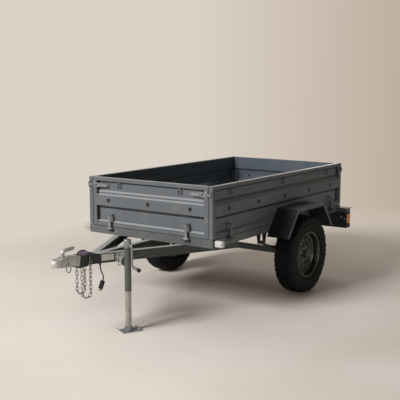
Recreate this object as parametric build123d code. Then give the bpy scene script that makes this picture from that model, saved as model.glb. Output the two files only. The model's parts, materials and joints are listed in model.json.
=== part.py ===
"""Single-axle box utility trailer with pressed-steel drop gates, leaf springs and a swivel jack.

Millimetres. +Z is up, -Y points to the coupling and +X to the trailer's left side.
The model is laid out with y = 0 on the front gate's outer face and z = 0 on the ground;
save() moves it along Y so that the origin lies under the middle of the whole trailer.
"""
from build123d import *
from math import atan, cos, pi, radians, sin, tan
import os

# ------------------------------------------------------------------ load box
body_width = 1200.0  # over the side panels
body_length = 2130.0  # over the end gates
frame_bottom = 553.0
frame_height = 60.0
frame_flange = 40.0
frame_wall = 4.0
floor_thickness = 3.0
seat_gap = 0.3  # between pieces that stand on each other without a weld
cross_rail_width = 40.0
cross_rail_count = 3  # between the end rails
cross_rail_first = 400.0  # middle of the first cross rail, behind the front gate
corner_cap = 4.0  # plate that closes each end of an end rail
frame_hole_inset = 107.0  # of the small holes in the front rail, from each side
frame_hole_drop = 21.0
frame_hole_radius = 5.0

panel_height = 387.0
panel_depth = 35.0
panel_gap = 5.0  # between a panel and the frame, and between a gate and the side panels
pan_depth = 20.0  # how far the outer pans are pressed in
step_depth = 9.0  # of the ledge in the upper pan's lower wall
end_frame = 34.0  # flat strip at each end of a panel
end_slope = 8.0  # run of the sloped wall at each end of a pan
# Outer pans, measured down from the panel's top edge and in from its face.
# columns: upper edge, floor's upper edge, floor's lower edge, lower edge, mouth's depth, floor's
outer_pans = [
    (28.0, 34.0, 131.0, 143.0, 0.0, step_depth),
    (34.0, 42.0, 104.0, 117.0, step_depth, pan_depth),
    (226.0, 248.0, 344.0, 354.0, 0.0, pan_depth),
]
band_pocket = (122.0, 160.0, 218.0, 243.0)  # the same columns, on the inner face
band_wall = 15.0  # metal left behind the centre band
inner_rim = 24.0
inner_field_depth = 3.0
rim_groove_drop = 365.0
rim_groove_width = 7.0
rim_groove_depth = 4.0
hole_radius = 12.5
hole_drop = 181.0  # from the panel's top edge down to the row of holes
gate_hole_pitch = 398.0
gate_hole_count = 3
side_hole_pitch = 423.0
side_hole_count = 5

# ------------------------------------------------------------------ panel hinges
hinge_pivot_z = 602.0
hinge_offset = 19.0  # pivot axis outside the panel's outer face
hinge_pin_radius = 5.0
hinge_pin_clearance = 0.08
hinge_pin_length = 55.0
hinge_head_radius = 9.0
hinge_head_length = 6.0
hinge_eye_radius = 12.0
arm_width = 25.0
arm_thickness = 7.0
arm_top_drop = 300.0  # bend at the top of the arm, from the panel's top edge
arm_return_rise = 12.0
arm_foot_length = 40.0
arm_foot_room = 3.0  # between the foot's upper end and the arm's return
arm_bend_ease = 2.0
lug_thickness = 5.0
lug_gap = 0.5
lug_nose_radius = 13.0
lug_bottom = 572.0
gate_hinge_x = 373.0
side_hinge_inset = 220.0  # from each end of the side panel

# ------------------------------------------------------------------ latches and tie loops
latch_drop = 62.0
latch_base = (26.0, 52.0, 4.0)  # along the gate, height, thickness
latch_drum_radius = 15.0
latch_drum_length = 9.0
lever_length = 141.0
lever_tip_height = 16.0
lever_root_height = 38.0
lever_thickness = 6.0
lever_lift = 1.0  # between the lever and its base plate
link_height = 18.0
link_thickness = 4.0
link_setback = 6.0  # of the link's end from the side panel's outer face
catch_height = 56.0
catch_thickness = 4.0
catch_plate_height = 40.0
catch_overlap = 33.0  # of the catch's plate on the side panel's end
catch_wrap = 26.0  # of its wing round the corner
catch_nose_height = 12.0
catch_reach = 9.0  # of the catch's nose past the side panel
loop_wire_radius = 3.5
loop_width = 28.0
loop_height = 38.0
loop_stand = 11.0  # wire axis above the pan floor
loop_drop = 40.0
loop_bend = 1.6 * loop_wire_radius
gate_loop_x = 295.0
side_loop_pitch = 801.0

# ------------------------------------------------------------------ drawbar
drawbar_spread = 340.0  # outer face of each drawbar rail at y = 0
drawbar_slope = 0.505  # sideways run of a drawbar rail for each mm rearward
drawbar_height = 70.0
drawbar_rear_lap = 20.0  # of each drawbar rail behind the first cross rail's middle
drawbar_flange = 45.0
drawbar_wall = 5.0
beam_width = 50.0
beam_wall = 4.0
tongue_rear = -597.0
tongue_width = 76.0
tongue_wall = 6.0
tongue_pitch = 6.0  # degrees that the tongue and coupling rise ahead of the drawbar

# The coupling's sizes are those before it is turned up by tongue_pitch.
coupling_reach = 1010.0  # nose of the coupling ahead of the front gate
coupling_length = 223.0  # from the tongue's front face to the nose
coupling_nose_radius = 40.0
coupling_top = 552.0
coupling_nose_top = 532.0
coupling_bottom = 481.0
coupling_rise_length = 56.0  # of the slope from the ball housing up to the shank
coupling_waist = 60.0
coupling_waist_setback = 69.0  # behind the ball's centre
coupling_nose_flat = 12.0
coupling_nose_fall = 5.0
coupling_nose_face = 24.0  # height of the sloped face over the nose's upright front
coupling_wall = 6.0
ball_radius = 25.25
ball_centre_z = 500.0
# Path of the locking handle. columns: y behind the ball's centre, z above coupling_top
handle_path = [(58.0, -12.0), (26.0, 34.0), (147.0, 54.0)]
handle_bend = 24.0
handle_width = 26.0
handle_thickness = 22.0
ring_setback = 153.0  # behind the nose
ring_width = 40.0
ring_drop = 44.0  # below the coupling
ring_wire_radius = 4.0
ring_side_clearance = 0.5

# Chain anchors: a lug under the tongue and a bolt through its left side.
chain_lug_half_width = 32.0
chain_lug_length = 88.0
chain_lug_bottom = 484.0
chain_bolt_setback = 87.0  # behind the tongue's front
chain_bolt_z = 543.0
chain_bolt_radius = 3.2
chain_bolt_length = 24.0
chain_bolt_head = 9.0
chain_bolt_head_length = 6.0

# ------------------------------------------------------------------ axle, springs and wheels
axle_setback = 110.0  # behind the middle of the load box
tyre_radius = 325.0
tyre_width = 180.0
wheel_offset = 99.0  # wheel's middle plane outside the side panel
axle_beam = 45.0
axle_shoulder_gap = 46.7  # between the beam's end and the hub's inner face
stub_radius = 20.0
stub_setback = 12.7  # of the stub's end from the hub's outer face
stub_end_room = 2.0
stub_clearance = 0.08
hub_radius = 46.0
hub_length = 84.0
hub_flange_radius = 74.0
hub_flange_thickness = 10.0
hub_cap_radius = 27.0
hub_cap_length = 34.0
wheel_centre_set = 22.0  # hub face outside the wheel's middle plane
rim_flange_radius = 195.0
rim_flange_thickness = 6.0
rim_half_width = 76.0
rim_seat_radius = 178.0
rim_well_radius = 158.0
rim_sheet = 4.5
rim_well_span = (-40.0, 14.0)  # floor of the drop well, outboard of the wheel's middle
rim_seat_span = (-52.0, 26.0)  # where the well's walls reach the bead seats
rim_bend = 3.0  # at the foot of each flange
stud_circle = 54.0
stud_count = 5
stud_hole_radius = 7.0
stud_radius = 5.5
stud_tip = 5.0  # of each stud past its nut
nut_radius = 10.0
nut_length = 12.0
vent_count = 10
vent_circle = 126.0
vent_radius = 10.0
disc_crown = 30.0  # how far the disc bulges outward of the hub face
disc_crown_radius = 100.0
disc_crown_flat = (-8.0, 4.0)  # the crown's flat, outward of its radius
disc_rolled_edge = (12.0, 4.0)  # the disc's edge in the well, inboard of the hub face
disc_bore_room = 8.0  # round the stub
disc_cut_room = 10.0  # that the vents and stud holes are cut past the crown
bead_gap = 0.3
tread_half_width = 72.0
sidewall_thickness = 13.0
tyre_foot = (4.0, 8.0)  # inside the rim's edge, outward of its flange
tyre_low = (4.0, 26.0)  # inside the tyre's side, outward of the flange
tyre_widest = 58.0  # outward of the flange
tyre_high = (3.0, 34.0)  # inside the tyre's side, below the crown
tyre_shoulder = (4.0, 12.0)  # outside the tread's edge, below the crown
tread_edge = (4.0, 3.0)  # inside the tread's edge, below the crown
cavity_low = 14.0  # outward of the flange
cavity_widest = 56.0
cavity_high = (6.0, 30.0)  # inside the sidewall, below the crown
cavity_crown = (6.0, 20.0)  # inside the tread's edge, below the crown
tread_groove_width = 6.0
tread_groove_depth = 8.0
tread_groove_pitch = 26.0

spring_inset = 45.0  # of each spring's middle from the side panel's face
spring_width = 45.0
spring_half_span = 410.0
spring_eye_z = 470.0
leaf_thickness = 6.5
leaf_half_lengths = [410.0, 340.0, 270.0, 200.0, 130.0]
leaf_headroom = 4 * leaf_thickness  # that the leaves may rise above the eye's middle
spring_eye_radius = 15.0
spring_pin_radius = 8.0
spring_pin_clearance = 0.1
hanger_plate = 5.0
hanger_width = 70.0
hanger_foot = 1.6  # half width of each cheek's foot, in pin radii
hanger_gap = 1.0
clamp_wire_radius = 5.0
clamp_wire_gap = 2.0
clamp_wire_tip = 14.0
clamp_plate = 8.0
clamp_half_length = 55.0

# ------------------------------------------------------------------ mudguards
guard_width = 192.0
guard_top = 733.0
guard_half_top = 229.0
guard_half_tip = 404.0
guard_tip_z = 520.0
guard_sheet = 3.0
guard_lip = 24.0

# ------------------------------------------------------------------ lamps
tail_box_inset = 160.0  # inner end of each lamp box, inside the side panel's face
tail_box_reach = 100.0  # outer end of each lamp box, outside the side panel's face
tail_box_depth = 80.0
tail_overhang = 8.0  # lamp faces behind the rear gate's face
tail_flange_overhang = 20.0
tail_top = 592.0
tail_bottom = 407.0
tail_sheet = 4.0
tail_top_flange = 5.0
tail_lens_depth = 22.0
amber_height = 86.0
amber_drop = 55.0  # below the box's top flange
amber_reach = 4.0  # of the lens past the box's side
amber_length = 68.0
amber_setback = 5.0  # from the box's rear edge
amber_round = 3.5
red_reach = 5.0
marker_y = 32.0
marker_z = 586.0
marker_height = 50.0
marker_length = 44.0
marker_reach = 78.0
marker_round = 16.0

# ------------------------------------------------------------------ jack
jack_y = -500.0
jack_stand_off = 118.0  # jack's axis outside the drawbar rail's outer face
jack_pivot_z = 501.0
jack_tube_radius = 24.0
jack_bore_radius = 21.3
jack_leg_radius = 21.0
jack_leg_wall = 3.0
jack_tube_bottom = 293.0
jack_tube_top = 606.0
jack_cap_radius = 27.0
jack_cap_top = 664.0
jack_cap_round = 10.0
jack_travel = 240.0
jack_top_room = 6.0  # above the leg when it is wound right up
foot_length = 150.0
foot_width = 100.0
foot_sheet = 5.0
foot_curl = 16.0
foot_sleeve_wall = 5.9
foot_sleeve_clearance = 0.1
foot_sleeve_height = 30.0
swivel_plate_radius = 37.0
swivel_plate_thickness = 6.0
swivel_pin_radius = 12.0
swivel_pin_clearance = 0.1
saddle_half_width = 16.0  # of the weld saddle between the swivel plate and the tube
saddle_half_height = 34.0
spacer_half = 22.0
mount_plate_length = 90.0
mount_plate_drop = 4.0  # plate's top below the rail's top
shackle_ahead = 18.0  # middle of the hanging shackle ahead of the jack's axis
shackle_width = 23.0
shackle_wire_radius = 4.5
shackle_drop = 24.0  # below the drawbar rail
shackle_bend = 10.0
shackle_weld = 0.9  # its wire is sunk this far in the mount plate
crank_z = 630.0
crank_shaft_radius = 7.0
crank_shaft_length = 46.0
crank_arm_length = 150.0
crank_lean = 8.0  # of the arm's lower end away from the tube
crank_grip_radius = 11.5
crank_grip_length = 74.0
crank_tip_length = 16.0
crank_tip_radius = 14.0
crank_bend = 14.0
crank_handle_run = 30.0

# ------------------------------------------------------------------ safety chains, cable and plug
link_pitch = 28.0
link_wire = 5.6
link_width = 20.0
link_gap = 0.7
link_corner = 6.0
chain_side_gap = 1.5  # between the chain and the tongue's side
chain_seat_low = chain_lug_bottom - link_wire - link_gap / 2 - seat_gap
chain_bolt_seat = chain_bolt_z + chain_bolt_radius + seat_gap - link_gap / 2
chain_bolt_x = tongue_width / 2 + link_width / 2 + chain_side_gap
# Each chain hangs in a loop from the tongue's anchors.
# columns: x, y behind the tongue's front face, z
chain_routes = [
    [
        (-20.0, 24.0, chain_seat_low),
        (-20.0, 24.0, 287.0),
        (2.0, 80.0, 287.0),
        (2.0, 80.0, chain_seat_low),
    ],
    [
        (chain_bolt_x, chain_bolt_setback, chain_bolt_seat),
        (chain_bolt_x, chain_bolt_setback, 262.0),
        (22.0, 31.0, 262.0),
        (22.0, 31.0, chain_seat_low),
    ],
]
chain_bend = 28.0
chain_samples = 1500
chain_trial_step = link_gap / 20  # by which the pitch shrinks until the links fit the route
chain_first_tilt = 0.1  # of the first link, so that no link lies along its path
cable_radius = 4.5
gland_radius = 8.0
plug_radius = 17.0
plug_length = 58.0
plug_round = 6.0
plug_pins_radius = 13.5
plug_pins_length = 18.0
# Route of the hanging cable in the layout frame, columns: x, y, z
cable_route = [
    (36.0, -585.0, 469.0),
    (36.0, -585.0, 447.0),
    (41.0, -579.0, 421.0),
    (50.0, -571.0, 396.0),
    (52.0, -569.0, 373.0),
    (47.0, -572.0, 354.5),
]
cable_bend_share = 0.45

# ------------------------------------------------------------------ worked-out places
half_body = body_width / 2
frame_top = frame_bottom + frame_height
panel_bottom = frame_top + panel_gap
panel_top = panel_bottom + panel_height
gate_half = half_body - panel_depth - panel_gap
wheel_z = tyre_radius
wheel_x = half_body + wheel_offset
hub_face_x = wheel_x + wheel_centre_set
axle_y = body_length / 2 + axle_setback
axle_half_length = hub_face_x - seat_gap - hub_length - axle_shoulder_gap
stub_length = hub_face_x - seat_gap - stub_setback - axle_half_length
spring_x = half_body - spring_inset
guard_outer_x = half_body + guard_width
drawbar_top = frame_bottom
drawbar_bottom = drawbar_top - drawbar_height
drawbar_middle = drawbar_top - drawbar_height / 2
drawbar_rear = cross_rail_first + drawbar_rear_lap
drawbar_angle = atan(drawbar_slope)
rail_along = (sin(drawbar_angle), cos(drawbar_angle), 0.0)  # rearward along the left rail
rail_out = (cos(drawbar_angle), -sin(drawbar_angle), 0.0)  # outward from the left rail
jack_x = drawbar_spread + drawbar_slope * jack_y + jack_stand_off / cos(drawbar_angle)
tongue_front = coupling_length - coupling_reach
nose_centre_y = -coupling_reach + coupling_nose_radius
ring_y = ring_setback - coupling_reach
nose_run = tongue_rear + coupling_reach  # from the tongue's rear to the nose, before the turn
pitch_angle = radians(tongue_pitch)
nose_front = tongue_rear - nose_run * cos(pitch_angle)
origin_front = nose_front + (coupling_bottom - drawbar_middle) * sin(pitch_angle)
origin_rear = body_length + hinge_offset + lug_nose_radius
origin_shift = -(origin_front + origin_rear) / 2

os.makedirs("parts", exist_ok=True)


# ------------------------------------------------------------------ helpers
def block(x, y, z):
    """A box between (low, high) pairs."""
    box = Box(x[1] - x[0], y[1] - y[0], z[1] - z[0], align=(Align.MIN, Align.MIN, Align.MIN))
    return Pos(x[0], y[0], z[0]) * box


def along_x(points, x):
    """A (y, z) outline drawn out between two x values."""
    face = Plane.YZ.offset(x[0]) * Polygon(*points, align=None)
    return extrude(face, x[1] - x[0], dir=(1, 0, 0))


def along_y(points, y):
    """An (x, z) outline drawn out between two y values."""
    plane = Plane(origin=(0, y[0], 0), x_dir=(1, 0, 0), z_dir=(0, -1, 0))
    return extrude(plane * Polygon(*points, align=None), y[1] - y[0], dir=(0, 1, 0))


def along_z(points, z):
    """An (x, y) outline drawn out between two z values."""
    face = Plane.XY.offset(z[0]) * Polygon(*points, align=None)
    return extrude(face, z[1] - z[0], dir=(0, 0, 1))


def rod(start, end, radius):
    """A round bar between two points."""
    axis = Vector(*end) - Vector(*start)
    return Solid.make_cylinder(radius, axis.length, Plane(origin=start, z_dir=axis.normalized()))


def hexagon_bar(start, end, radius):
    """A six-sided bar between two points, for bolt heads and nuts."""
    axis = Vector(*end) - Vector(*start)
    plane = Plane(origin=start, z_dir=axis.normalized())
    return extrude(plane * RegularPolygon(radius, 6), axis.length)


def bent_rod(points, radius, bend):
    """A round wire along points in the present frame, with rounded corners."""
    path = FilletPolyline(*points, radius=bend)
    start = Plane(origin=path @ 0, z_dir=path % 0)
    return sweep(start * Circle(radius), path=path)


def fuse(shapes):
    """All the shapes joined into one."""
    whole = shapes[0]
    for shape in shapes[1:]:
        whole = whole + shape
    return whole


def mirrored(shape):
    """The same piece on the trailer's right side."""
    return mirror(shape, about=Plane.YZ)


def save(node, *shapes):
    """Write one node, moved from the layout frame to the trailer's own frame."""
    solids = []
    for shape in shapes:
        solids.extend(shape.solids())
    placed = [Pos(0, origin_shift, 0) * solid for solid in solids]
    whole = placed[0] if len(placed) == 1 else Compound(children=placed)
    export_step(whole, f"parts/{node}.step")


# ------------------------------------------------------------------ walls of the load box
# Each wall has its own frame: x along the wall, y up and z out of its outer face.
walls = {
    # name: (origin, direction along the wall, outward direction, half length)
    "front_gate": ((0, 0, 0), (1, 0, 0), (0, -1, 0), gate_half),
    "rear_gate": ((0, body_length, 0), (-1, 0, 0), (0, 1, 0), gate_half),
    "side_panel_left": ((half_body, body_length / 2, 0), (0, 1, 0), (1, 0, 0), body_length / 2),
    "side_panel_right": ((-half_body, body_length / 2, 0), (0, -1, 0), (-1, 0, 0), body_length / 2),
}


def wall_plane(name):
    """The wall's own frame."""
    origin, along, outward, _ = walls[name]
    return Plane(origin=origin, x_dir=along, z_dir=outward)


def pan_cutter(half_length, pan, face_depth, floor_depth, slope):
    """The space of one pressed pan: a wide mouth at face_depth and a smaller floor."""
    upper, floor_upper, floor_lower, lower = pan[:4]
    mouth = Pos(0, panel_top - (upper + lower) / 2) * Rectangle(2 * half_length, lower - upper)
    floor_middle = panel_top - (floor_upper + floor_lower) / 2
    floor_size = (2 * (half_length - slope), floor_lower - floor_upper)
    floor = Pos(0, floor_middle) * Rectangle(*floor_size)
    faces = [Plane.XY.offset(face_depth) * mouth, Plane.XY.offset(floor_depth) * floor]
    return loft(faces, ruled=True)


def pressed_panel(half_length, hole_pitch, hole_count):
    """One wall of the box: two pans outside, a pocket behind the centre band inside."""
    panel = block((-half_length, half_length), (panel_bottom, panel_top), (-panel_depth, 0))
    pan_half = half_length - end_frame
    for pan in outer_pans:
        mouth, floor = pan[4:]
        panel = panel - pan_cutter(pan_half, pan, -mouth, -floor, end_slope)
    field_half = half_length - inner_rim
    field = (panel_bottom + inner_rim, panel_top - inner_rim)
    field_floor = inner_field_depth - panel_depth
    panel = panel - block((-field_half, field_half), field, (-panel_depth, field_floor))
    panel = panel - pan_cutter(pan_half, band_pocket, field_floor, -band_wall, end_slope)
    groove_middle = panel_top - rim_groove_drop
    groove = (groove_middle - rim_groove_width / 2, groove_middle + rim_groove_width / 2)
    panel = panel - block((-pan_half, pan_half), groove, (-rim_groove_depth, 0))
    for index in range(hole_count):
        along = (index - (hole_count - 1) / 2) * hole_pitch
        centre = (along, panel_top - hole_drop)
        panel = panel - rod((*centre, -panel_depth), (*centre, 0), hole_radius)
    return panel


def across_wall(outline, along):
    """A (z out, y up) outline in a wall's frame, drawn out between two places along it."""
    plane = Plane(origin=(along[0], 0, 0), x_dir=(0, 0, 1), z_dir=(-1, 0, 0))
    return extrude(plane * Polygon(*outline, align=None), along[1] - along[0], dir=(1, 0, 0))


def hinge_arm(along):
    """A bent flat bar: foot on the lower pan's floor, eye round the hinge pin."""
    outer = hinge_offset + arm_thickness / 2
    inner = hinge_offset - arm_thickness / 2
    bend_z = panel_top - arm_top_drop
    top_z = bend_z + arm_return_rise
    outline = [
        (inner, hinge_pivot_z),
        (outer, hinge_pivot_z),
        (outer, bend_z),
        (-pan_depth, top_z),
        (-pan_depth, top_z - arm_foot_length),
        (-pan_depth + arm_thickness, top_z - arm_foot_length),
        (-pan_depth + arm_thickness, top_z - arm_thickness - arm_foot_room),
        (inner, bend_z - arm_thickness + arm_bend_ease),
    ]
    span = (along - arm_width / 2, along + arm_width / 2)
    strap = across_wall(outline, span)
    ends = [(edge, hinge_pivot_z, hinge_offset) for edge in span]
    eye = rod(*ends, hinge_eye_radius)
    bore = rod(*ends, hinge_pin_radius + hinge_pin_clearance)
    return strap + eye - bore


def hinge_lugs(along):
    """Two ears welded to the frame, with the hinge pin, its head and its nut."""
    outline = [
        (0, lug_bottom),
        (hinge_offset, hinge_pivot_z - lug_nose_radius),
        (hinge_offset, hinge_pivot_z),
        (0, hinge_pivot_z),
    ]
    pieces = []
    inner = arm_width / 2 + lug_gap
    for side in (-1, 1):
        edges = sorted((along + side * inner, along + side * (inner + lug_thickness)))
        ends = [(edge, hinge_pivot_z, hinge_offset) for edge in edges]
        pieces.append(across_wall(outline, edges) + rod(*ends, lug_nose_radius))
    half_pin = hinge_pin_length / 2
    pin_ends = [(along + side * half_pin, hinge_pivot_z, hinge_offset) for side in (-1, 1)]
    pieces.append(rod(*pin_ends, hinge_pin_radius))
    for side in (-1, 1):
        near = (along + side * (inner + lug_thickness), hinge_pivot_z, hinge_offset)
        reach = inner + lug_thickness + hinge_head_length
        far = (along + side * reach, hinge_pivot_z, hinge_offset)
        pieces.append(hexagon_bar(near, far, hinge_head_radius))
    return fuse(pieces)


def tie_loop(along):
    """A wire staple standing on the upper pan's floor."""
    top = panel_top - loop_drop
    low = top - loop_height
    half = loop_width / 2
    floor = -pan_depth
    out = floor + loop_stand
    points = [
        (along - half, low, floor),
        (along - half, low, out),
        (along - half, top, out),
        (along + half, top, out),
        (along + half, low, out),
        (along + half, low, floor),
    ]
    return bent_rod(points, loop_wire_radius, loop_bend)


def latch_lever(side):
    """Base plate, drum, tapered lever and link, on the gate's end strip."""
    z = panel_top - latch_drop
    base_along, base_high, base_thick = latch_base
    middle = gate_half - end_frame / 2
    base = block(
        (middle - base_along / 2, middle + base_along / 2),
        (z - base_high / 2, z + base_high / 2),
        (0, base_thick),
    )
    drum_top = base_thick + latch_drum_length
    drum = rod((middle, z, base_thick), (middle, z, drum_top), latch_drum_radius)
    tip = middle - lever_length
    lever_low = base_thick + lever_lift
    outline = [
        (tip, z + lever_tip_height / 2),
        (tip, z - lever_tip_height / 2),
        (middle - latch_drum_radius, z - lever_root_height / 2),
        (middle, z),
        (middle - latch_drum_radius, z + lever_root_height / 2),
    ]
    lever = along_z(outline, (lever_low, lever_low + lever_thickness))
    link = block(
        (middle, half_body - link_setback),
        (z - link_height / 2, z + link_height / 2),
        (drum_top - link_thickness, drum_top),
    )
    whole = fuse([base, drum, lever, link])
    return whole if side > 0 else mirror(whole, about=Plane.YZ)


def latch_catch(side, at_front):
    """An angle round the corner of a side panel, with a pointed nose outside it."""
    z = panel_top - latch_drop
    face_y = 0 if at_front else body_length
    out = -1 if at_front else 1
    front_y = sorted((face_y, face_y + out * catch_thickness))
    half_plate = catch_plate_height / 2
    front = block((half_body - catch_overlap, half_body), front_y, (z - half_plate, z + half_plate))
    nose = [
        (half_body, z - catch_height / 2),
        (half_body + catch_reach, z - catch_nose_height / 2),
        (half_body + catch_reach, z + catch_nose_height / 2),
        (half_body, z + catch_height / 2),
    ]
    wing_y = sorted((face_y + out * catch_thickness, face_y - out * catch_wrap))
    wing = along_y(nose, wing_y)
    whole = front + wing
    return whole if side > 0 else mirrored(whole)


gate_nodes = {"front_gate": "front", "rear_gate": "rear"}
for wall, end in gate_nodes.items():
    plane = wall_plane(wall)
    save(f"{end}_gate_panel", plane * pressed_panel(gate_half, gate_hole_pitch, gate_hole_count))
    save(f"{end}_gate_hinge_arms", *[plane * hinge_arm(x) for x in (-gate_hinge_x, gate_hinge_x)])
    save(f"{end}_gate_tie_loops", *[plane * tie_loop(x) for x in (-gate_loop_x, gate_loop_x)])
    save(f"{end}_gate_latches", *[plane * latch_lever(side) for side in (-1, 1)])

side_hinge_along = body_length / 2 - side_hinge_inset
side_walls = ("side_panel_left", "side_panel_right")
for wall in side_walls:
    plane = wall_plane(wall)
    save(wall, plane * pressed_panel(body_length / 2, side_hole_pitch, side_hole_count))

side_arms = []
side_loops = []
for wall in side_walls:
    plane = wall_plane(wall)
    for along in (-side_hinge_along, side_hinge_along):
        side_arms.append(plane * hinge_arm(along))
    for step in (-1, 0, 1):
        side_loops.append(plane * tie_loop(step * side_loop_pitch))
save("side_hinge_arms", *side_arms)
save("side_tie_loops", *side_loops)

lugs = []
for wall in walls:
    reach = gate_hinge_x if wall in gate_nodes else side_hinge_along
    for along in (-reach, reach):
        lugs.append(wall_plane(wall) * hinge_lugs(along))
save("hinge_lugs", *lugs)

catches = []
for side in (-1, 1):
    for at_front in (True, False):
        catches.append(latch_catch(side, at_front))
save("latch_catches", *catches)


# ------------------------------------------------------------------ frame and floor
def channel(width, low, high, wall):
    """Outline of a channel lying on its side: its web at width, open towards zero."""
    return [
        (0, low),
        (width, low),
        (width, high),
        (0, high),
        (0, high - wall),
        (width - wall, high - wall),
        (width - wall, low + wall),
        (0, low + wall),
    ]


def shifted(outline, offset, turn=1):
    """The outline moved along its first axis, or turned over and moved."""
    return [(offset + turn * first, second) for first, second in outline]


rail_outline = channel(frame_flange, frame_bottom, frame_top, frame_wall)
side_rail_y = (frame_flange, body_length - frame_flange)
left_rail = along_y(shifted(rail_outline, half_body - frame_flange), side_rail_y)
save("frame_side_rails", left_rail, mirrored(left_rail))


def end_rail(outline, span_y):
    """A channel across the whole width, with a plate welded over each open end."""
    rail = along_x(outline, (-half_body, half_body))
    cap = block((half_body - corner_cap, half_body), span_y, (frame_bottom, frame_top))
    return rail + cap + mirrored(cap)


front_rail = end_rail(shifted(rail_outline, frame_flange, -1), (0, frame_flange))
for side in (-1, 1):
    hole_x = side * (half_body - frame_hole_inset)
    hole_z = frame_top - frame_hole_drop
    front_rail = front_rail - rod((hole_x, 0, hole_z), (hole_x, frame_wall, hole_z), frame_hole_radius)
rear_rail = end_rail(shifted(rail_outline, side_rail_y[1]), (side_rail_y[1], body_length))
save("frame_end_rails", front_rail, rear_rail)

rail_inner = half_body - frame_flange
rail_span = (-rail_inner, rail_inner)
floor_underside = frame_top - floor_thickness
bay = (body_length - cross_rail_first) / cross_rail_count
cross_outline = channel(cross_rail_width, frame_bottom, floor_underside, frame_wall)
cross_rails = []
for index in range(cross_rail_count):
    start = cross_rail_first + index * bay - cross_rail_width / 2
    cross_rails.append(along_x(shifted(cross_outline, start), rail_span))
save("frame_cross_rails", *cross_rails)

floor_y = (frame_flange + seat_gap, body_length - frame_flange - seat_gap)
floor_x = (seat_gap - rail_inner, rail_inner - seat_gap)
save("floor_sheet", block(floor_x, floor_y, (floor_underside, frame_top)))


# ------------------------------------------------------------------ drawbar
def drawbar_rail():
    """The left rail of the V: a channel, its web outside, from the tongue to the side rail."""
    start_y = tongue_rear
    start = (drawbar_spread + drawbar_slope * start_y, start_y, 0)
    length = (half_body - start[0]) / sin(drawbar_angle) + drawbar_flange
    plane = Plane(origin=start, x_dir=rail_out, z_dir=tuple(-part for part in rail_along))
    section = channel(drawbar_flange, drawbar_bottom, drawbar_top, drawbar_wall)
    face = plane * Polygon(*shifted(section, -drawbar_flange), align=None)
    solid = extrude(face, length, dir=rail_along)
    solid = solid + extrude(face, drawbar_flange, dir=tuple(-part for part in rail_along))
    keep = block(
        (beam_width / 2 + seat_gap, half_body),
        (tongue_rear, drawbar_rear),
        (drawbar_bottom, drawbar_top),
    )
    return solid & keep


left_drawbar = drawbar_rail()
save("drawbar_rails", left_drawbar, mirrored(left_drawbar))

beam_x = (-beam_width / 2, beam_width / 2)
beam_y = (tongue_rear, body_length - frame_flange)
beam = block(beam_x, beam_y, (drawbar_bottom, drawbar_top))
hollow_x = (beam_x[0] + beam_wall, beam_x[1] - beam_wall)
hollow_z = (drawbar_bottom + beam_wall, drawbar_top - beam_wall)
save("centre_beam", beam - block(hollow_x, beam_y, hollow_z))

def turned_up(shape):
    """The shape turned about the tongue's rear end, so that the nose rises."""
    hinge = Axis((0, tongue_rear, drawbar_middle), (1, 0, 0))
    return shape.rotate(hinge, -tongue_pitch)


def turned_point(y, z):
    """(y, z) of a point of the coupling after it is turned up."""
    ahead = tongue_rear - y
    above = z - drawbar_middle
    forward = ahead * cos(pitch_angle) - above * sin(pitch_angle)
    up = ahead * sin(pitch_angle) + above * cos(pitch_angle)
    return tongue_rear - forward, drawbar_middle + up


def tongue_outline(low, high):
    """Side view between two heights: square at the rear, turned up at the front."""
    front_high = turned_point(tongue_front, high)
    front_low = turned_point(tongue_front, low)
    return [(tongue_rear, low), (tongue_rear, high), front_high, front_low]


def tongue_beam():
    """The box beam that carries the coupling, with a chain lug below and a bolt at its side."""
    half = tongue_width / 2
    beam = along_x(tongue_outline(drawbar_bottom, drawbar_top), (-half, half))
    inner_z = (drawbar_bottom + tongue_wall, drawbar_top - tongue_wall)
    bore_x = (tongue_wall - half, half - tongue_wall)
    front_y, front_low = turned_point(tongue_front, drawbar_bottom + tongue_wall / 2)
    rear_y, rear_low = turned_point(
        tongue_front + chain_lug_length, drawbar_bottom + tongue_wall / 2
    )
    lug = [
        (front_y, chain_lug_bottom),
        (front_y, front_low),
        (rear_y, rear_low),
        (rear_y, chain_lug_bottom),
    ]
    beam = beam + along_x(lug, (-chain_lug_half_width, chain_lug_half_width))
    bolt_y = tongue_front + chain_bolt_setback
    bolt_end = half + chain_bolt_length
    head_start = bolt_end - chain_bolt_head_length
    beam = beam + rod((0, bolt_y, chain_bolt_z), (bolt_end, bolt_y, chain_bolt_z), chain_bolt_radius)
    head_ends = [(x, bolt_y, chain_bolt_z) for x in (head_start, bolt_end)]
    beam = beam + hexagon_bar(*head_ends, chain_bolt_head)
    return beam - along_x(tongue_outline(*inner_z), bore_x)


save("tongue_block", tongue_beam())


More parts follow.
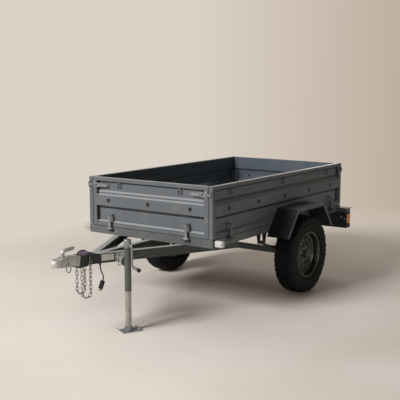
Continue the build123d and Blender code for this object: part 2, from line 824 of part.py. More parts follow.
def coupling_head():
    """A pressed ball coupling: a shank that narrows to a waist and a domed ball housing."""
    waist_y = nose_centre_y + coupling_waist_setback
    half_waist = coupling_waist / 2
    side = [
        (tongue_front, coupling_bottom),
        (tongue_front, coupling_top),
        (nose_centre_y + coupling_rise_length, coupling_top),
        (nose_centre_y, coupling_nose_top),
        (-coupling_reach + coupling_nose_flat, coupling_nose_top - coupling_nose_fall),
        (-coupling_reach, coupling_nose_top - coupling_nose_face),
        (-coupling_reach, coupling_bottom),
    ]
    profile = along_x(side, (-tongue_width, tongue_width))
    plan = along_z(
        [
            (-tongue_width / 2, tongue_front),
            (-half_waist, waist_y),
            (-half_waist, nose_centre_y),
            (half_waist, nose_centre_y),
            (half_waist, waist_y),
            (tongue_width / 2, tongue_front),
        ],
        (coupling_bottom, coupling_top),
    )
    centre_low = (0, nose_centre_y, coupling_bottom)
    centre_high = (0, nose_centre_y, coupling_top)
    plan = plan + rod(centre_low, centre_high, coupling_nose_radius)
    head = profile & plan
    shank_half = half_waist - coupling_wall
    shank = block(
        (-shank_half, shank_half),
        (waist_y, tongue_front),
        (coupling_bottom, coupling_top - coupling_wall),
    )
    socket = rod(centre_low, (0, nose_centre_y, ball_centre_z), ball_radius)
    socket = socket + Pos(0, nose_centre_y, ball_centre_z) * Sphere(ball_radius)
    return head - shank - socket


coupling = coupling_head()
save("coupling_head", turned_up(coupling))

handle_points = [(nose_centre_y + ahead, coupling_top + up) for ahead, up in handle_path]
handle_wire = FilletPolyline(*[(0, y, z) for y, z in handle_points], radius=handle_bend)
handle_plane = Plane(origin=handle_wire @ 0, x_dir=(1, 0, 0), z_dir=handle_wire % 0)
handle = sweep(handle_plane * Rectangle(handle_width, handle_thickness), path=handle_wire)
handle = max((handle - coupling).solids(), key=lambda piece: piece.volume)
save("coupling_handle", turned_up(handle))

ring_half = ring_width / 2
ring_seat = coupling_top - coupling_wall
ring_points = [
    (-ring_half, ring_y, ring_seat),
    (-ring_half, ring_y, coupling_bottom - ring_drop),
    (ring_half, ring_y, coupling_bottom - ring_drop),
    (ring_half, ring_y, ring_seat),
]
ring = bent_rod(ring_points, ring_wire_radius, ring_half - ring_side_clearance)
save("coupling_ring", turned_up(ring))


# ------------------------------------------------------------------ axle and springs
axle_z = (wheel_z - axle_beam / 2, wheel_z + axle_beam / 2)
axle_span = (-axle_half_length, axle_half_length)
axle = block(axle_span, (axle_y - axle_beam / 2, axle_y + axle_beam / 2), axle_z)
for side in (-1, 1):
    inner = (side * axle_half_length, axle_y, wheel_z)
    outer = (side * (axle_half_length + stub_length), axle_y, wheel_z)
    axle = axle + rod(inner, outer, stub_radius)
save("axle", axle)

spring_sag = spring_eye_z - (axle_z[1] + clamp_plate + leaf_thickness * len(leaf_half_lengths))
spring_radius = (spring_half_span**2 + spring_sag**2) / (2 * spring_sag)
spring_centre_z = spring_eye_z - spring_sag + spring_radius
spring_span = (spring_x - spring_width / 2, spring_x + spring_width / 2)
front_eye_y = axle_y - spring_half_span
rear_eye_y = axle_y + spring_half_span


def leaf_spring():
    """The left spring: stacked arc leaves under a main leaf with its front eye."""
    pieces = []
    for index, half_length in enumerate(leaf_half_lengths):
        inner = spring_radius + index * leaf_thickness
        ends = [(edge, axle_y, spring_centre_z) for edge in spring_span]
        ring = rod(*ends, inner + leaf_thickness) - rod(*ends, inner)
        window = block(
            spring_span,
            (axle_y - half_length, axle_y + half_length),
            (axle_z[1], spring_eye_z + leaf_headroom),
        )
        pieces.append(ring & window)
    eye_ends = [(edge, front_eye_y, spring_eye_z) for edge in spring_span]
    pieces.append(rod(*eye_ends, spring_eye_radius))
    whole = fuse(pieces)
    return whole - rod(*eye_ends, spring_pin_radius + spring_pin_clearance)


left_spring = leaf_spring()
save("leaf_springs", left_spring, mirrored(left_spring))


def spring_hanger(y, pin_z):
    """Two cheeks under a top plate, with the pin through the spring's end."""
    cheek_low = pin_z - 2 * spring_pin_radius
    cheek_top = frame_bottom - hanger_plate
    outline = [
        (y - hanger_width / 2, cheek_top),
        (y - hanger_foot * spring_pin_radius, cheek_low),
        (y + hanger_foot * spring_pin_radius, cheek_low),
        (y + hanger_width / 2, cheek_top),
    ]
    inner = (spring_span[0] - hanger_gap, spring_span[1] + hanger_gap)
    pieces = [
        along_x(outline, (inner[0] - hanger_plate, inner[0])),
        along_x(outline, (inner[1], inner[1] + hanger_plate)),
    ]
    top_y = (y - hanger_width / 2, y + hanger_width / 2)
    pieces.append(block((inner[0] - hanger_plate, half_body), top_y, (cheek_top, frame_bottom)))
    pin_x = (inner[0] - hanger_plate, inner[1] + hanger_plate)
    pieces.append(rod((pin_x[0], y, pin_z), (pin_x[1], y, pin_z), spring_pin_radius))
    return fuse(pieces)


slipper_pin_z = spring_eye_z + leaf_thickness / 2 + spring_pin_radius + seat_gap
slipper_y = rear_eye_y - 3 * spring_pin_radius
hangers = [spring_hanger(front_eye_y, spring_eye_z), spring_hanger(slipper_y, slipper_pin_z)]
save("spring_hangers", *hangers, *[mirrored(hanger) for hanger in hangers])


def spring_clamp():
    """Pad between spring and axle, top plate and two clamp bolts round the axle."""
    top = axle_z[1] + clamp_plate + leaf_thickness * len(leaf_half_lengths)
    pack_half = clamp_half_length
    plate_y = (axle_y - pack_half, axle_y + pack_half)
    wire_room = 2 * clamp_wire_radius + clamp_wire_gap
    grip_x = (spring_span[0] - wire_room, spring_span[1] + wire_room)
    rise = spring_radius - (spring_radius**2 - pack_half**2) ** 0.5
    pad_y = (axle_y - axle_beam / 2, axle_y + axle_beam / 2)
    pad = block(spring_span, pad_y, (axle_z[1], axle_z[1] + clamp_plate - seat_gap))
    top_low = top + rise + seat_gap
    pieces = [block(grip_x, plate_y, (top_low, top_low + clamp_plate))]
    base_high = axle_z[0] - seat_gap
    pieces.append(block(grip_x, plate_y, (base_high - clamp_plate, base_high)))
    low = base_high - clamp_plate - clamp_wire_tip
    high = top_low + clamp_plate + clamp_wire_tip
    reach = axle_beam / 2 + 2 * clamp_wire_radius
    for x in (grip_x[0] + clamp_wire_radius, grip_x[1] - clamp_wire_radius):
        for y in (axle_y - reach, axle_y + reach):
            pieces.append(rod((x, y, low), (x, y, high), clamp_wire_radius))
    return fuse(pieces), pad


clamp, pad = spring_clamp()
save("spring_clamps", clamp, pad, mirrored(clamp), mirrored(pad))


# ------------------------------------------------------------------ wheels
def turned(outline, wheel_side):
    """An outline of (distance outboard of the wheel's middle, radius) turned about the axle."""
    plane = Plane(
        origin=(wheel_side * wheel_x, axle_y, wheel_z), x_dir=(wheel_side, 0, 0), z_dir=(0, -1, 0)
    )
    axis = Axis((wheel_side * wheel_x, axle_y, wheel_z), (1, 0, 0))
    return revolve(plane * Polygon(*outline, align=None), axis=axis, revolution_arc=360)


def around_wheel(wheel_side, circle, count, index):
    """(y, z) of one place on a circle about the axle."""
    angle = 2 * pi * index / count
    return axle_y + circle * sin(angle), wheel_z + circle * cos(angle)


def wheel_rim(wheel_side):
    """Drop-centre rim with a dished disc, vent holes and stud holes."""
    seat = rim_seat_radius
    well = rim_well_radius
    lip = rim_half_width
    flange = rim_flange_thickness
    barrel = [
        (-lip, rim_flange_radius),
        (-lip + flange, rim_flange_radius),
        (-lip + flange + rim_bend, seat + rim_bend),
        (rim_seat_span[0], seat),
        (rim_well_span[0], well),
        (rim_well_span[1], well),
        (rim_seat_span[1], seat),
        (lip - flange - rim_bend, seat + rim_bend),
        (lip - flange, rim_flange_radius),
        (lip, rim_flange_radius),
        (lip, rim_flange_radius - rim_sheet),
        (lip - rim_sheet, seat - 1),
        (rim_seat_span[1] + 2, seat - rim_sheet),
        (rim_well_span[1] + 2, well - rim_sheet),
        (rim_well_span[0] - 2, well - rim_sheet),
        (rim_seat_span[0] - 2, seat - rim_sheet),
        (-lip + rim_sheet, seat - 1),
        (-lip, rim_flange_radius - rim_sheet),
    ]
    face = wheel_centre_set
    crown = face + disc_crown
    bore = stub_radius + disc_bore_room
    crown_in = disc_crown_radius + disc_crown_flat[0]
    crown_out = disc_crown_radius + disc_crown_flat[1]
    disc = [
        (face, bore),
        (face + rim_sheet, bore),
        (face + rim_sheet, hub_flange_radius),
        (crown, crown_in),
        (crown, crown_out),
        (face - disc_rolled_edge[1], well - rim_sheet / 2),
        (face - disc_rolled_edge[0], well - rim_sheet / 2),
        (crown - rim_sheet, crown_out - 2),
        (crown - rim_sheet, crown_in + 2),
        (face, hub_flange_radius),
    ]
    rim = turned(barrel, wheel_side) + turned(disc, wheel_side)
    inside = wheel_side * wheel_x
    outside = wheel_side * (wheel_x + crown + disc_cut_room)
    for index in range(vent_count):
        y, z = around_wheel(wheel_side, vent_circle, vent_count, index)
        rim = rim - rod((inside, y, z), (outside, y, z), vent_radius)
    for index in range(stud_count):
        y, z = around_wheel(wheel_side, stud_circle, stud_count, index)
        rim = rim - rod((inside, y, z), (outside, y, z), stud_hole_radius)
    return rim


def wheel_tyre(wheel_side):
    """A hollow tyre section with three grooves round the tread."""
    half = tyre_width / 2
    bead = rim_half_width - rim_flange_thickness - rim_bend - bead_gap
    seat = rim_seat_radius + rim_bend + bead_gap
    over_flange = rim_flange_radius + bead_gap
    crown = tyre_radius
    right = [
        (bead, seat),
        (bead, over_flange),
        (rim_half_width - tyre_foot[0], over_flange + tyre_foot[1]),
        (half - tyre_low[0], over_flange + tyre_low[1]),
        (half, over_flange + tyre_widest),
        (half - tyre_high[0], crown - tyre_high[1]),
        (tread_half_width + tyre_shoulder[0], crown - tyre_shoulder[1]),
        (tread_half_width - tread_edge[0], crown - tread_edge[1]),
    ]
    grooves = []
    for step in (1, 0, -1):
        middle = step * tread_groove_pitch
        edge = tread_groove_width / 2
        top = crown - abs(step) * 1.0
        grooves.append((middle + edge, top))
        grooves.append((middle + edge - 1, crown - tread_groove_depth))
        grooves.append((middle - edge + 1, crown - tread_groove_depth))
        grooves.append((middle - edge, top))
    left = [(-first, second) for first, second in reversed(right)]
    wall = sidewall_thickness
    inside = [
        (-bead + wall, seat),
        (-bead + wall, over_flange + cavity_low),
        (-half + wall, over_flange + cavity_widest),
        (-half + wall + cavity_high[0], crown - cavity_high[1]),
        (-tread_half_width + cavity_crown[0], crown - cavity_crown[1]),
        (tread_half_width - cavity_crown[0], crown - cavity_crown[1]),
        (half - wall - cavity_high[0], crown - cavity_high[1]),
        (half - wall, over_flange + cavity_widest),
        (bead - wall, over_flange + cavity_low),
        (bead - wall, seat),
    ]
    return turned(right + grooves + left + inside, wheel_side)


def wheel_hub(wheel_side):
    """Hub barrel on the axle stub, flange, studs with nuts and dust cap."""
    def at(distance):
        return (wheel_side * distance, axle_y, wheel_z)

    face = hub_face_x - seat_gap
    nut_seat = hub_face_x + rim_sheet + seat_gap
    stud_end = nut_seat + nut_length + stud_tip
    hub = rod(at(face - hub_length), at(face - hub_flange_thickness), hub_radius)
    hub = hub + rod(at(face - hub_flange_thickness), at(face), hub_flange_radius)
    hub = hub + rod(at(face), at(face + hub_cap_length), hub_cap_radius)
    stub_end = axle_half_length + stub_length
    bore = rod(at(face - hub_length), at(stub_end + stub_end_room), stub_radius + stub_clearance)
    hub = hub - bore
    for index in range(stud_count):
        y, z = around_wheel(wheel_side, stud_circle, stud_count, index)
        hub = hub + rod((wheel_side * face, y, z), (wheel_side * stud_end, y, z), stud_radius)
        nut_ends = [(wheel_side * edge, y, z) for edge in (nut_seat, nut_seat + nut_length)]
        hub = hub + hexagon_bar(*nut_ends, nut_radius)
    return hub


for side, word in ((1, "left"), (-1, "right")):
    save(f"tyre_{word}", wheel_tyre(side))
    save(f"rim_{word}", wheel_rim(side))
    save(f"hub_{word}", wheel_hub(side))


# ------------------------------------------------------------------ mudguards
def mudguard():
    """The left mudguard: a folded sheet arch with a lip round its outer edge."""
    fall = atan((guard_top - guard_tip_z) / (guard_half_tip - guard_half_top))

    def arch(drop):
        lean = drop * tan(fall / 2)
        run = drop / sin(fall)
        return [
            (axle_y - guard_half_tip + run, guard_tip_z),
            (axle_y - guard_half_top + lean, guard_top - drop),
            (axle_y + guard_half_top - lean, guard_top - drop),
            (axle_y + guard_half_tip - run, guard_tip_z),
        ]

    sheet = along_x(arch(0) + list(reversed(arch(guard_sheet))), (half_body, guard_outer_x))
    lip_x = (guard_outer_x - guard_sheet, guard_outer_x)
    lip = along_x(arch(0) + list(reversed(arch(guard_lip))), lip_x)
    return sheet + lip


left_guard = mudguard()
save("mudguard_left", left_guard)
save("mudguard_right", mirrored(left_guard))


# ------------------------------------------------------------------ lamps
tail_rear = body_length + tail_overhang
tail_front = tail_rear - tail_box_depth
tail_x = (half_body - tail_box_inset, half_body + tail_box_reach)
amber_top = tail_top - amber_drop
amber_y = (tail_rear - amber_setback - amber_length, tail_rear - amber_setback)
amber_z = (amber_top - amber_height, amber_top)


def shrunk(pair, margin):
    """A (low, high) pair drawn in by a margin at each end."""
    return pair[0] + margin, pair[1] - margin


def tail_bracket():
    """The left tail lamp's box under the frame, stepped up beside it, open to the rear."""
    span_y = (tail_front, tail_rear)
    low_z = (tail_bottom, frame_bottom)
    high_z = (frame_bottom - 2 * tail_sheet, tail_top - tail_sheet)
    beside_x = (half_body, tail_x[1])
    body = block(tail_x, span_y, low_z) + block(beside_x, span_y, high_z)
    inner_y = (tail_front + tail_sheet, tail_rear)
    body = body - block(shrunk(tail_x, tail_sheet), inner_y, shrunk(low_z, tail_sheet))
    shut_y = (tail_front + tail_sheet, tail_rear - tail_sheet)
    body = body - block(shrunk(beside_x, tail_sheet), shut_y, shrunk(high_z, tail_sheet))
    flange_x = (half_body, tail_x[1] + tail_top_flange)
    flange_y = (tail_front, body_length + tail_flange_overhang)
    flange = block(flange_x, flange_y, (tail_top - tail_sheet, tail_top))
    lip_y = (tail_rear, body_length + tail_flange_overhang)
    lip = block(flange_x, lip_y, (tail_bottom, tail_bottom + tail_sheet))
    corner = block((tail_x[1] - tail_sheet, tail_x[1]), amber_y, amber_z)
    return body + flange + lip - corner


bracket = tail_bracket()
save("tail_lamp_brackets", bracket, mirrored(bracket))

lens_x = shrunk(tail_x, tail_sheet + seat_gap)
lens_z = shrunk((tail_bottom, frame_bottom), tail_sheet + seat_gap)
red = block(lens_x, (tail_rear - tail_lens_depth, tail_rear + red_reach), lens_z)
amber_x = (tail_x[1] - tail_sheet, tail_x[1] + amber_reach)
amber = block(amber_x, shrunk(amber_y, seat_gap), shrunk(amber_z, seat_gap))
amber = fillet(amber.edges().filter_by(Axis.Z).sort_by(Axis.X)[-2:], amber_round)
save("tail_lamp_red_lenses", red, mirrored(red))
save("tail_lamp_amber_lenses", amber, mirrored(amber))


def marker_lamp():
    """The left front marker lamp: a rounded lens on the frame's side."""
    lens = block(
        (half_body, half_body + marker_reach),
        (marker_y - marker_length / 2, marker_y + marker_length / 2),
        (marker_z - marker_height / 2, marker_z + marker_height / 2),
    )
    return fillet(lens.edges().sort_by(Axis.X)[4:], marker_round)


lamp = marker_lamp()
save("marker_lamps", lamp, mirrored(lamp))


# ------------------------------------------------------------------ jack
# The jack's own frame: x outward from the rail, y up, z forward along the rail.
jack_plane = Plane(
    origin=(jack_x, jack_y, 0), x_dir=rail_out, z_dir=tuple(-part for part in rail_along)
)


def upright(low, high, radius):
    """A round bar on the jack's vertical axis."""
    return rod((jack_x, jack_y, low), (jack_x, jack_y, high), radius)


def outward(start, end, height, radius, ahead=0):
    """A round bar that points away from the rail, in the jack's own frame."""
    return jack_plane * rod((start, height, ahead), (end, height, ahead), radius)


tube_face = -jack_tube_radius
swivel_face = tube_face - swivel_plate_thickness
plate_face = swivel_face - seat_gap - swivel_plate_thickness
tube = upright(jack_tube_bottom, jack_tube_top, jack_tube_radius)
swivel = outward(swivel_face, tube_face, jack_pivot_z, swivel_plate_radius)
saddle = jack_plane * block(
    (tube_face, 0),
    (jack_pivot_z - saddle_half_height, jack_pivot_z + saddle_half_height),
    (-saddle_half_width, saddle_half_width),
)
pin_hole = outward(swivel_face, tube_face, jack_pivot_z, swivel_pin_radius + swivel_pin_clearance)
leg_bore = upright(jack_tube_bottom, jack_tube_top, jack_bore_radius)
save("jack_tube", tube + swivel + saddle - pin_hole - leg_bore)

cap = upright(jack_tube_top, jack_cap_top, jack_cap_radius)
save("jack_cap", fillet(cap.edges().group_by(Axis.Z)[-1], jack_cap_round))

crank_arm_x = jack_cap_radius + crank_shaft_length
crank_low = crank_z - crank_arm_length
crank_end = crank_arm_x + crank_lean + crank_handle_run
crank_points = [
    (jack_cap_radius, crank_z, 0),
    (crank_arm_x, crank_z, 0),
    (crank_arm_x + crank_lean, crank_low, 0),
    (crank_end, crank_low, 0),
]
save("jack_crank", jack_plane * bent_rod(crank_points, crank_shaft_radius, crank_bend))
grip_start = crank_end + seat_gap
grip_end = grip_start + crank_grip_length
save("jack_grip", outward(grip_start, grip_end, crank_low, crank_grip_radius))
tip_end = grip_end + crank_tip_length
save("jack_grip_end", outward(grip_end + seat_gap, tip_end, crank_low, crank_tip_radius))

rail_face = -jack_stand_off
mount_face = rail_face + swivel_plate_thickness
mount = jack_plane * block(
    (rail_face, mount_face),
    (drawbar_bottom, drawbar_top - mount_plate_drop),
    (-mount_plate_length / 2, mount_plate_length / 2),
)
spacer = jack_plane * block(
    (mount_face, plate_face),
    (jack_pivot_z - spacer_half, jack_pivot_z + spacer_half),
    (-spacer_half, spacer_half),
)
plate_end = plate_face + swivel_plate_thickness
fixed_plate = outward(plate_face, plate_end, jack_pivot_z, swivel_plate_radius)
swivel_pin = outward(plate_face, tube_face - seat_gap, jack_pivot_z, swivel_pin_radius)
shackle_out = mount_face + shackle_wire_radius - shackle_weld
shackle_low = drawbar_bottom - shackle_drop
shackle_high = drawbar_top - mount_plate_drop
shackle_ends = [shackle_ahead + side * shackle_width / 2 for side in (-1, 1)]
shackle_points = [
    (shackle_out, shackle_high, shackle_ends[0]),
    (shackle_out, shackle_low, shackle_ends[0]),
    (shackle_out, shackle_low, shackle_ends[1]),
    (shackle_out, shackle_high, shackle_ends[1]),
]
shackle = jack_plane * bent_rod(shackle_points, shackle_wire_radius, shackle_bend)
save("jack_bracket", fuse([mount, spacer, fixed_plate, swivel_pin, shackle]))

leg_top = jack_tube_top - jack_top_room - jack_travel
leg = upright(foot_sheet, leg_top, jack_leg_radius)
leg = leg - upright(foot_sheet, leg_top, jack_leg_radius - jack_leg_wall)
save("jack_leg", leg)

foot_half = foot_length / 2
foot_outline = [
    (-foot_half, foot_curl),
    (-foot_half + foot_curl, 0),
    (foot_half - foot_curl, 0),
    (foot_half, foot_curl),
    (foot_half, foot_curl + foot_sheet),
    (foot_half - foot_curl, foot_sheet),
    (-foot_half + foot_curl, foot_sheet),
    (-foot_half, foot_curl + foot_sheet),
]
foot_plane = Plane(origin=(jack_x, jack_y, 0), x_dir=rail_along, z_dir=rail_out)
foot = extrude(foot_plane * Polygon(*foot_outline, align=None), foot_width / 2, both=True)
sleeve_bore = jack_leg_radius + foot_sleeve_clearance
sleeve_top = foot_sheet + foot_sleeve_height
sleeve = upright(foot_sheet, sleeve_top, sleeve_bore + foot_sleeve_wall)
sleeve = sleeve - upright(foot_sheet, sleeve_top, sleeve_bore)
save("jack_foot", foot + sleeve)


# ------------------------------------------------------------------ safety chains
def chain_link(centre, axis, across, pitch):
    """One link: an eight-sided ring with its length on axis and its width on across."""
    long_half = pitch / 2 + link_wire + link_gap / 2
    wide_half = link_width / 2
    outer = [
        (-long_half + link_corner, -wide_half),
        (long_half - link_corner, -wide_half),
        (long_half, -wide_half + link_corner),
        (long_half, wide_half - link_corner),
        (long_half - link_corner, wide_half),
        (-long_half + link_corner, wide_half),
        (-long_half, wide_half - link_corner),
        (-long_half, -wide_half + link_corner),
    ]
    inner = [
        (first * (1 - link_wire / long_half), second * (1 - link_wire / wide_half))
        for first, second in outer
    ]
    plane = Plane(origin=centre, x_dir=axis, z_dir=axis.cross(across))
    ring = Polygon(*outer, align=None) - Polygon(*inner, align=None)
    return extrude(plane * ring, link_wire / 2, both=True)


def stepped(places, step):
    """The places along a finely divided path that lie one straight step apart."""
    kept = [places[0]]
    for place in places:
        if (place - kept[-1]).length >= step:
            kept.append(place)
    return kept


def chain(route, bend):
    """Links end to end along a route with rounded corners, each turned a quarter to the last."""
    points = [(x, tongue_front + behind, z) for x, behind, z in route]
    path = FilletPolyline(*points, radius=bend)
    places = [path @ (index / chain_samples) for index in range(chain_samples + 1)]
    count = round(path.length / link_pitch)
    pitch = path.length / count
    while len(stepped(places, pitch)) <= count:
        pitch = pitch - chain_trial_step
    joints = stepped(places, pitch)
    links = []
    across = Vector(0, 1, chain_first_tilt)
    for before, after in zip(joints, joints[1:]):
        axis = (after - before).normalized()
        level = (across - axis * across.dot(axis)).normalized()
        links.append(chain_link((before + after) / 2, axis, level, pitch))
        across = axis.cross(level)
    return links


chains = []
for route in chain_routes:
    chains.extend(chain(route, chain_bend))
save("safety_chains", *chains)


# ------------------------------------------------------------------ cable and plug
def cable_tube():
    """The free cable: straight runs joined by arcs as large as the runs allow."""
    points = [Vector(*point) for point in cable_route]
    radii = []
    for before, here, after in zip(points, points[1:], points[2:]):
        run_in = here - before
        run_out = after - here
        turn = radians(run_in.get_angle(run_out))
        shorter = min(run_in.length, run_out.length)
        radii.append(cable_bend_share * shorter / tan(turn / 2))
    print("cable bend radii", [round(radius) for radius in radii])
    path = FilletPolyline(*cable_route, radius=radii)
    start = Plane(origin=path @ 0, z_dir=path % 0)
    return sweep(start * Circle(cable_radius), path=path), path


cable, cable_path = cable_tube()
print("cable length", round(cable_path.length), "volume share",
      round(cable.volume / (pi * cable_radius**2 * cable_path.length), 3))
save("cable", cable)

exit_x, exit_y, exit_z = cable_route[0]
gland = rod((exit_x, exit_y, exit_z), (exit_x, exit_y, drawbar_bottom), gland_radius)
save("cable_gland", gland)

plug_top = Vector(*cable_route[-1])
plug_axis = (plug_top - Vector(*cable_route[-2])).normalized()
plug_end = plug_top + plug_axis * plug_length
plug = rod(tuple(plug_top), tuple(plug_end), plug_radius)
save("plug", fillet(plug.edges().sort_by(Axis.Z)[-1], plug_round))
pins_end = plug_end + plug_axis * plug_pins_length
save("plug_insert", rod(tuple(plug_end), tuple(pins_end), plug_pins_radius))
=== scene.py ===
"""Looks of the utility trailer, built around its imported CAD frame. Metres, +Z up, -Y to the coupling."""
import json
from math import cos, pi, radians, sin

import bmesh
import bpy
from mathutils import Matrix, Vector

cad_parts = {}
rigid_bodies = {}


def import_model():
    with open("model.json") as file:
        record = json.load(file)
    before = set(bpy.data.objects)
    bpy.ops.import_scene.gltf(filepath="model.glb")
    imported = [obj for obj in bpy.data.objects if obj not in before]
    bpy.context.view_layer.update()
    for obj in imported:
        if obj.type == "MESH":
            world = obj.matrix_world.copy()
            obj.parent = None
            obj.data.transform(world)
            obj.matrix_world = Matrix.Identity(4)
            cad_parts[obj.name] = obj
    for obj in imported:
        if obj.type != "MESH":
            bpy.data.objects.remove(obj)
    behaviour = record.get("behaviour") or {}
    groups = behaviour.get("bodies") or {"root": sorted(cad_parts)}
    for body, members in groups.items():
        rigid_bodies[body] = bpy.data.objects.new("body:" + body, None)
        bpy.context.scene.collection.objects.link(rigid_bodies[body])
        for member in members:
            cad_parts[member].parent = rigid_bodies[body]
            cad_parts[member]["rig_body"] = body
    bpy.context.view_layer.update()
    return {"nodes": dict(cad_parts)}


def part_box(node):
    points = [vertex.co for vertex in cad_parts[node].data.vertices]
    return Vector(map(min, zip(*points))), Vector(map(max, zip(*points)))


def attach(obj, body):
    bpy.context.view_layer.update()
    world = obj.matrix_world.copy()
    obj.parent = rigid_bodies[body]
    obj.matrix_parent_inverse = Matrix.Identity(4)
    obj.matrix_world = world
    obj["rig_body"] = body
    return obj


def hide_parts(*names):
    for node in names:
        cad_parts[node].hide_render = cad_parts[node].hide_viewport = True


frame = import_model()

MM = 0.001
SIDES = (("left", 1), ("right", -1))  # the left side is the one that the camera sees
nodes = frame["nodes"]
GATE_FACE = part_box("front_gate_panel")[0].y
REAR_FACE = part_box("rear_gate_panel")[1].y
BODY_MIDDLE = (GATE_FACE + REAR_FACE) / 2
HALF_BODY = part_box("side_panel_left")[1].x
PANEL_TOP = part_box("side_panel_left")[1].z


def at(x, behind, z):
    """A place from millimetres: across, behind the front gate's outer face, and above the floor."""
    return Vector((x * MM, GATE_FACE + behind * MM, z * MM))


def link(name, data):
    """A new object with this data, in the scene."""
    made = bpy.data.objects.new(name, data)
    bpy.context.scene.collection.objects.link(made)
    return made


# ---------------------------- camera
CAMERA_PLACE = (3.777, -5.2336, 1.7391)
CAMERA_TURN = (81.65, 0.05, 35.21)  # degrees
CAMERA_LENS = 71.35  # mm, on a sensor 36 mm wide


def make_camera():
    """The camera stands ahead of the trailer on its left, at about head height."""
    data = bpy.data.cameras.new("camera")
    data.lens = CAMERA_LENS
    data.sensor_width = 36.0
    camera = link("camera", data)
    camera.location = CAMERA_PLACE
    camera.rotation_euler = [radians(turn) for turn in CAMERA_TURN]
    bpy.context.scene.camera = camera


make_camera()


# ---------------------------- shader helpers
def srgb(red, green, blue):
    """A colour given in the usual 0 to 255 steps, as the linear values that shaders take."""
    def linear(step):
        part = step / 255
        return part / 12.92 if part <= 0.04045 else ((part + 0.055) / 1.055) ** 2.4
    return (linear(red), linear(green), linear(blue), 1.0)


class Nodes:
    """Adds nodes to one tree and joins them."""

    def __init__(self, tree):
        self.tree = tree

    def feed(self, socket, value):
        """Join another node's output to an input, or set the input to a fixed value."""
        if isinstance(value, bpy.types.NodeSocket):
            self.tree.links.new(value, socket)
        else:
            socket.default_value = value

    def add(self, kind, inputs=None, **settings):
        """A node with its settings, and with some of its inputs fed, by name or by number."""
        node = self.tree.nodes.new(kind)
        for name, value in settings.items():
            setattr(node, name, value)
        for name, value in (inputs or {}).items():
            self.feed(node.inputs[name], value)
        return node

    def reckon(self, operation, first, second=0.0):
        """The result of one sum, such as MULTIPLY, or ABSOLUTE, which takes only the first value."""
        return self.add("ShaderNodeMath", {0: first, 1: second}, operation=operation).outputs["Value"]

    def reckon_vector(self, operation, first, second, result="Vector"):
        """The same with vectors; result is Value where the sum gives a number."""
        return self.add("ShaderNodeVectorMath", {0: first, 1: second}, operation=operation).outputs[result]

    def part_of(self, vector, axis):
        """One part of a vector: X, Y or Z."""
        return self.add("ShaderNodeSeparateXYZ", {"Vector": vector}).outputs[axis]

    def spread(self, value, low, high, to_low=0.0, to_high=1.0):
        """The value taken from one range to another, and held inside it."""
        inputs = {"Value": value, "From Min": low, "From Max": high, "To Min": to_low, "To Max": to_high}
        return self.add("ShaderNodeMapRange", inputs, clamp=True).outputs["Result"]

    def window(self, value, rise, fall):
        """1 between a rising edge and a falling edge, each given as (from, to), and 0 elsewhere."""
        return self.reckon("MULTIPLY", self.spread(value, *rise), self.spread(value, *fall, 1.0, 0.0))

    def mix(self, amount, first, second):
        """A colour between two colours."""
        # among this node's sockets, inputs 6 and 7 and output 2 are the ones for colours
        inputs = {"Factor": amount, 6: first, 7: second}
        return self.add("ShaderNodeMix", inputs, data_type="RGBA").outputs[2]

    def tint(self, tone, colour, share, *masks):
        """The tone with a share of another colour, where every mask is 1."""
        mask = masks[0]
        for other in masks[1:]:
            mask = self.reckon("MULTIPLY", mask, other)
        return self.mix(self.spread(mask, 0.0, 1.0, 0.0, share), tone, colour)


class Shader(Nodes):
    """The nodes of one material. Its patterns stay with its piece when the piece moves."""

    def __init__(self, name):
        self.material = bpy.data.materials.new(name)
        self.material.use_nodes = True
        super().__init__(self.material.node_tree)
        self.bsdf = self.tree.nodes["Principled BSDF"]
        coordinates = self.add("ShaderNodeTexCoord")
        self.place = coordinates.outputs["Object"]
        self.normal = coordinates.outputs["Normal"]

    def noise(self, scale, detail=4.0):
        """Noise from 0 to 1 about 0.5, with features of about 1/scale metres."""
        inputs = {"Vector": self.place, "Scale": scale, "Detail": detail}
        return self.add("ShaderNodeTexNoise", inputs).outputs["Fac"]

    def clouds(self, colour, paler, scale, detail, low, high):
        """A colour that goes over into a paler one where the noise goes from low to high."""
        return self.mix(self.spread(self.noise(scale, detail), low, high), colour, paler)

    def wear(self, scale, detail, smooth, rough):
        """A roughness that wanders between two values."""
        return self.spread(self.noise(scale, detail), 0.3, 0.7, smooth, rough)

    def bump(self, height, strength, depth):
        """Relief on the surface from a height of 0 to 1, at most depth metres deep."""
        bump = self.add("ShaderNodeBump", {"Height": height, "Strength": strength, "Distance": depth})
        self.feed(self.bsdf.inputs["Normal"], bump.outputs["Normal"])

    def facing_up(self):
        """How far the surface faces up, from -1 to 1."""
        return self.part_of(self.normal, "Z")

    def facing_side(self):
        """How far the surface faces across the trailer, either way, from 0 to 1."""
        return self.reckon("ABSOLUTE", self.part_of(self.normal, "X"))

    def inward(self):
        """1 on faces that look into the load box, 0 on faces that look out of it."""
        from_middle = self.reckon_vector("SUBTRACT", self.place, (0.0, BODY_MIDDLE, 0.0))
        level = self.reckon_vector("MULTIPLY", from_middle, (1.0, 1.0, 0.0))
        outward = self.reckon_vector("DOT_PRODUCT", level, self.normal, "Value")
        return self.spread(outward, -0.40, -0.25, 1.0, 0.0)

    def band(self, axis, low, high, edge=0.0004, both_sides=False):
        """1 where the place along an axis is inside a range, 0 elsewhere."""
        value = self.part_of(self.place, axis)
        if both_sides:
            value = self.reckon("ABSOLUTE", value)
        return self.window(value, (low - edge, low + edge), (high - edge, high + edge))

    def finish(self, colour, roughness):
        """The material, with its colour and roughness joined up."""
        self.feed(self.bsdf.inputs["Base Color"], colour)
        self.feed(self.bsdf.inputs["Roughness"], roughness)
        return self.material


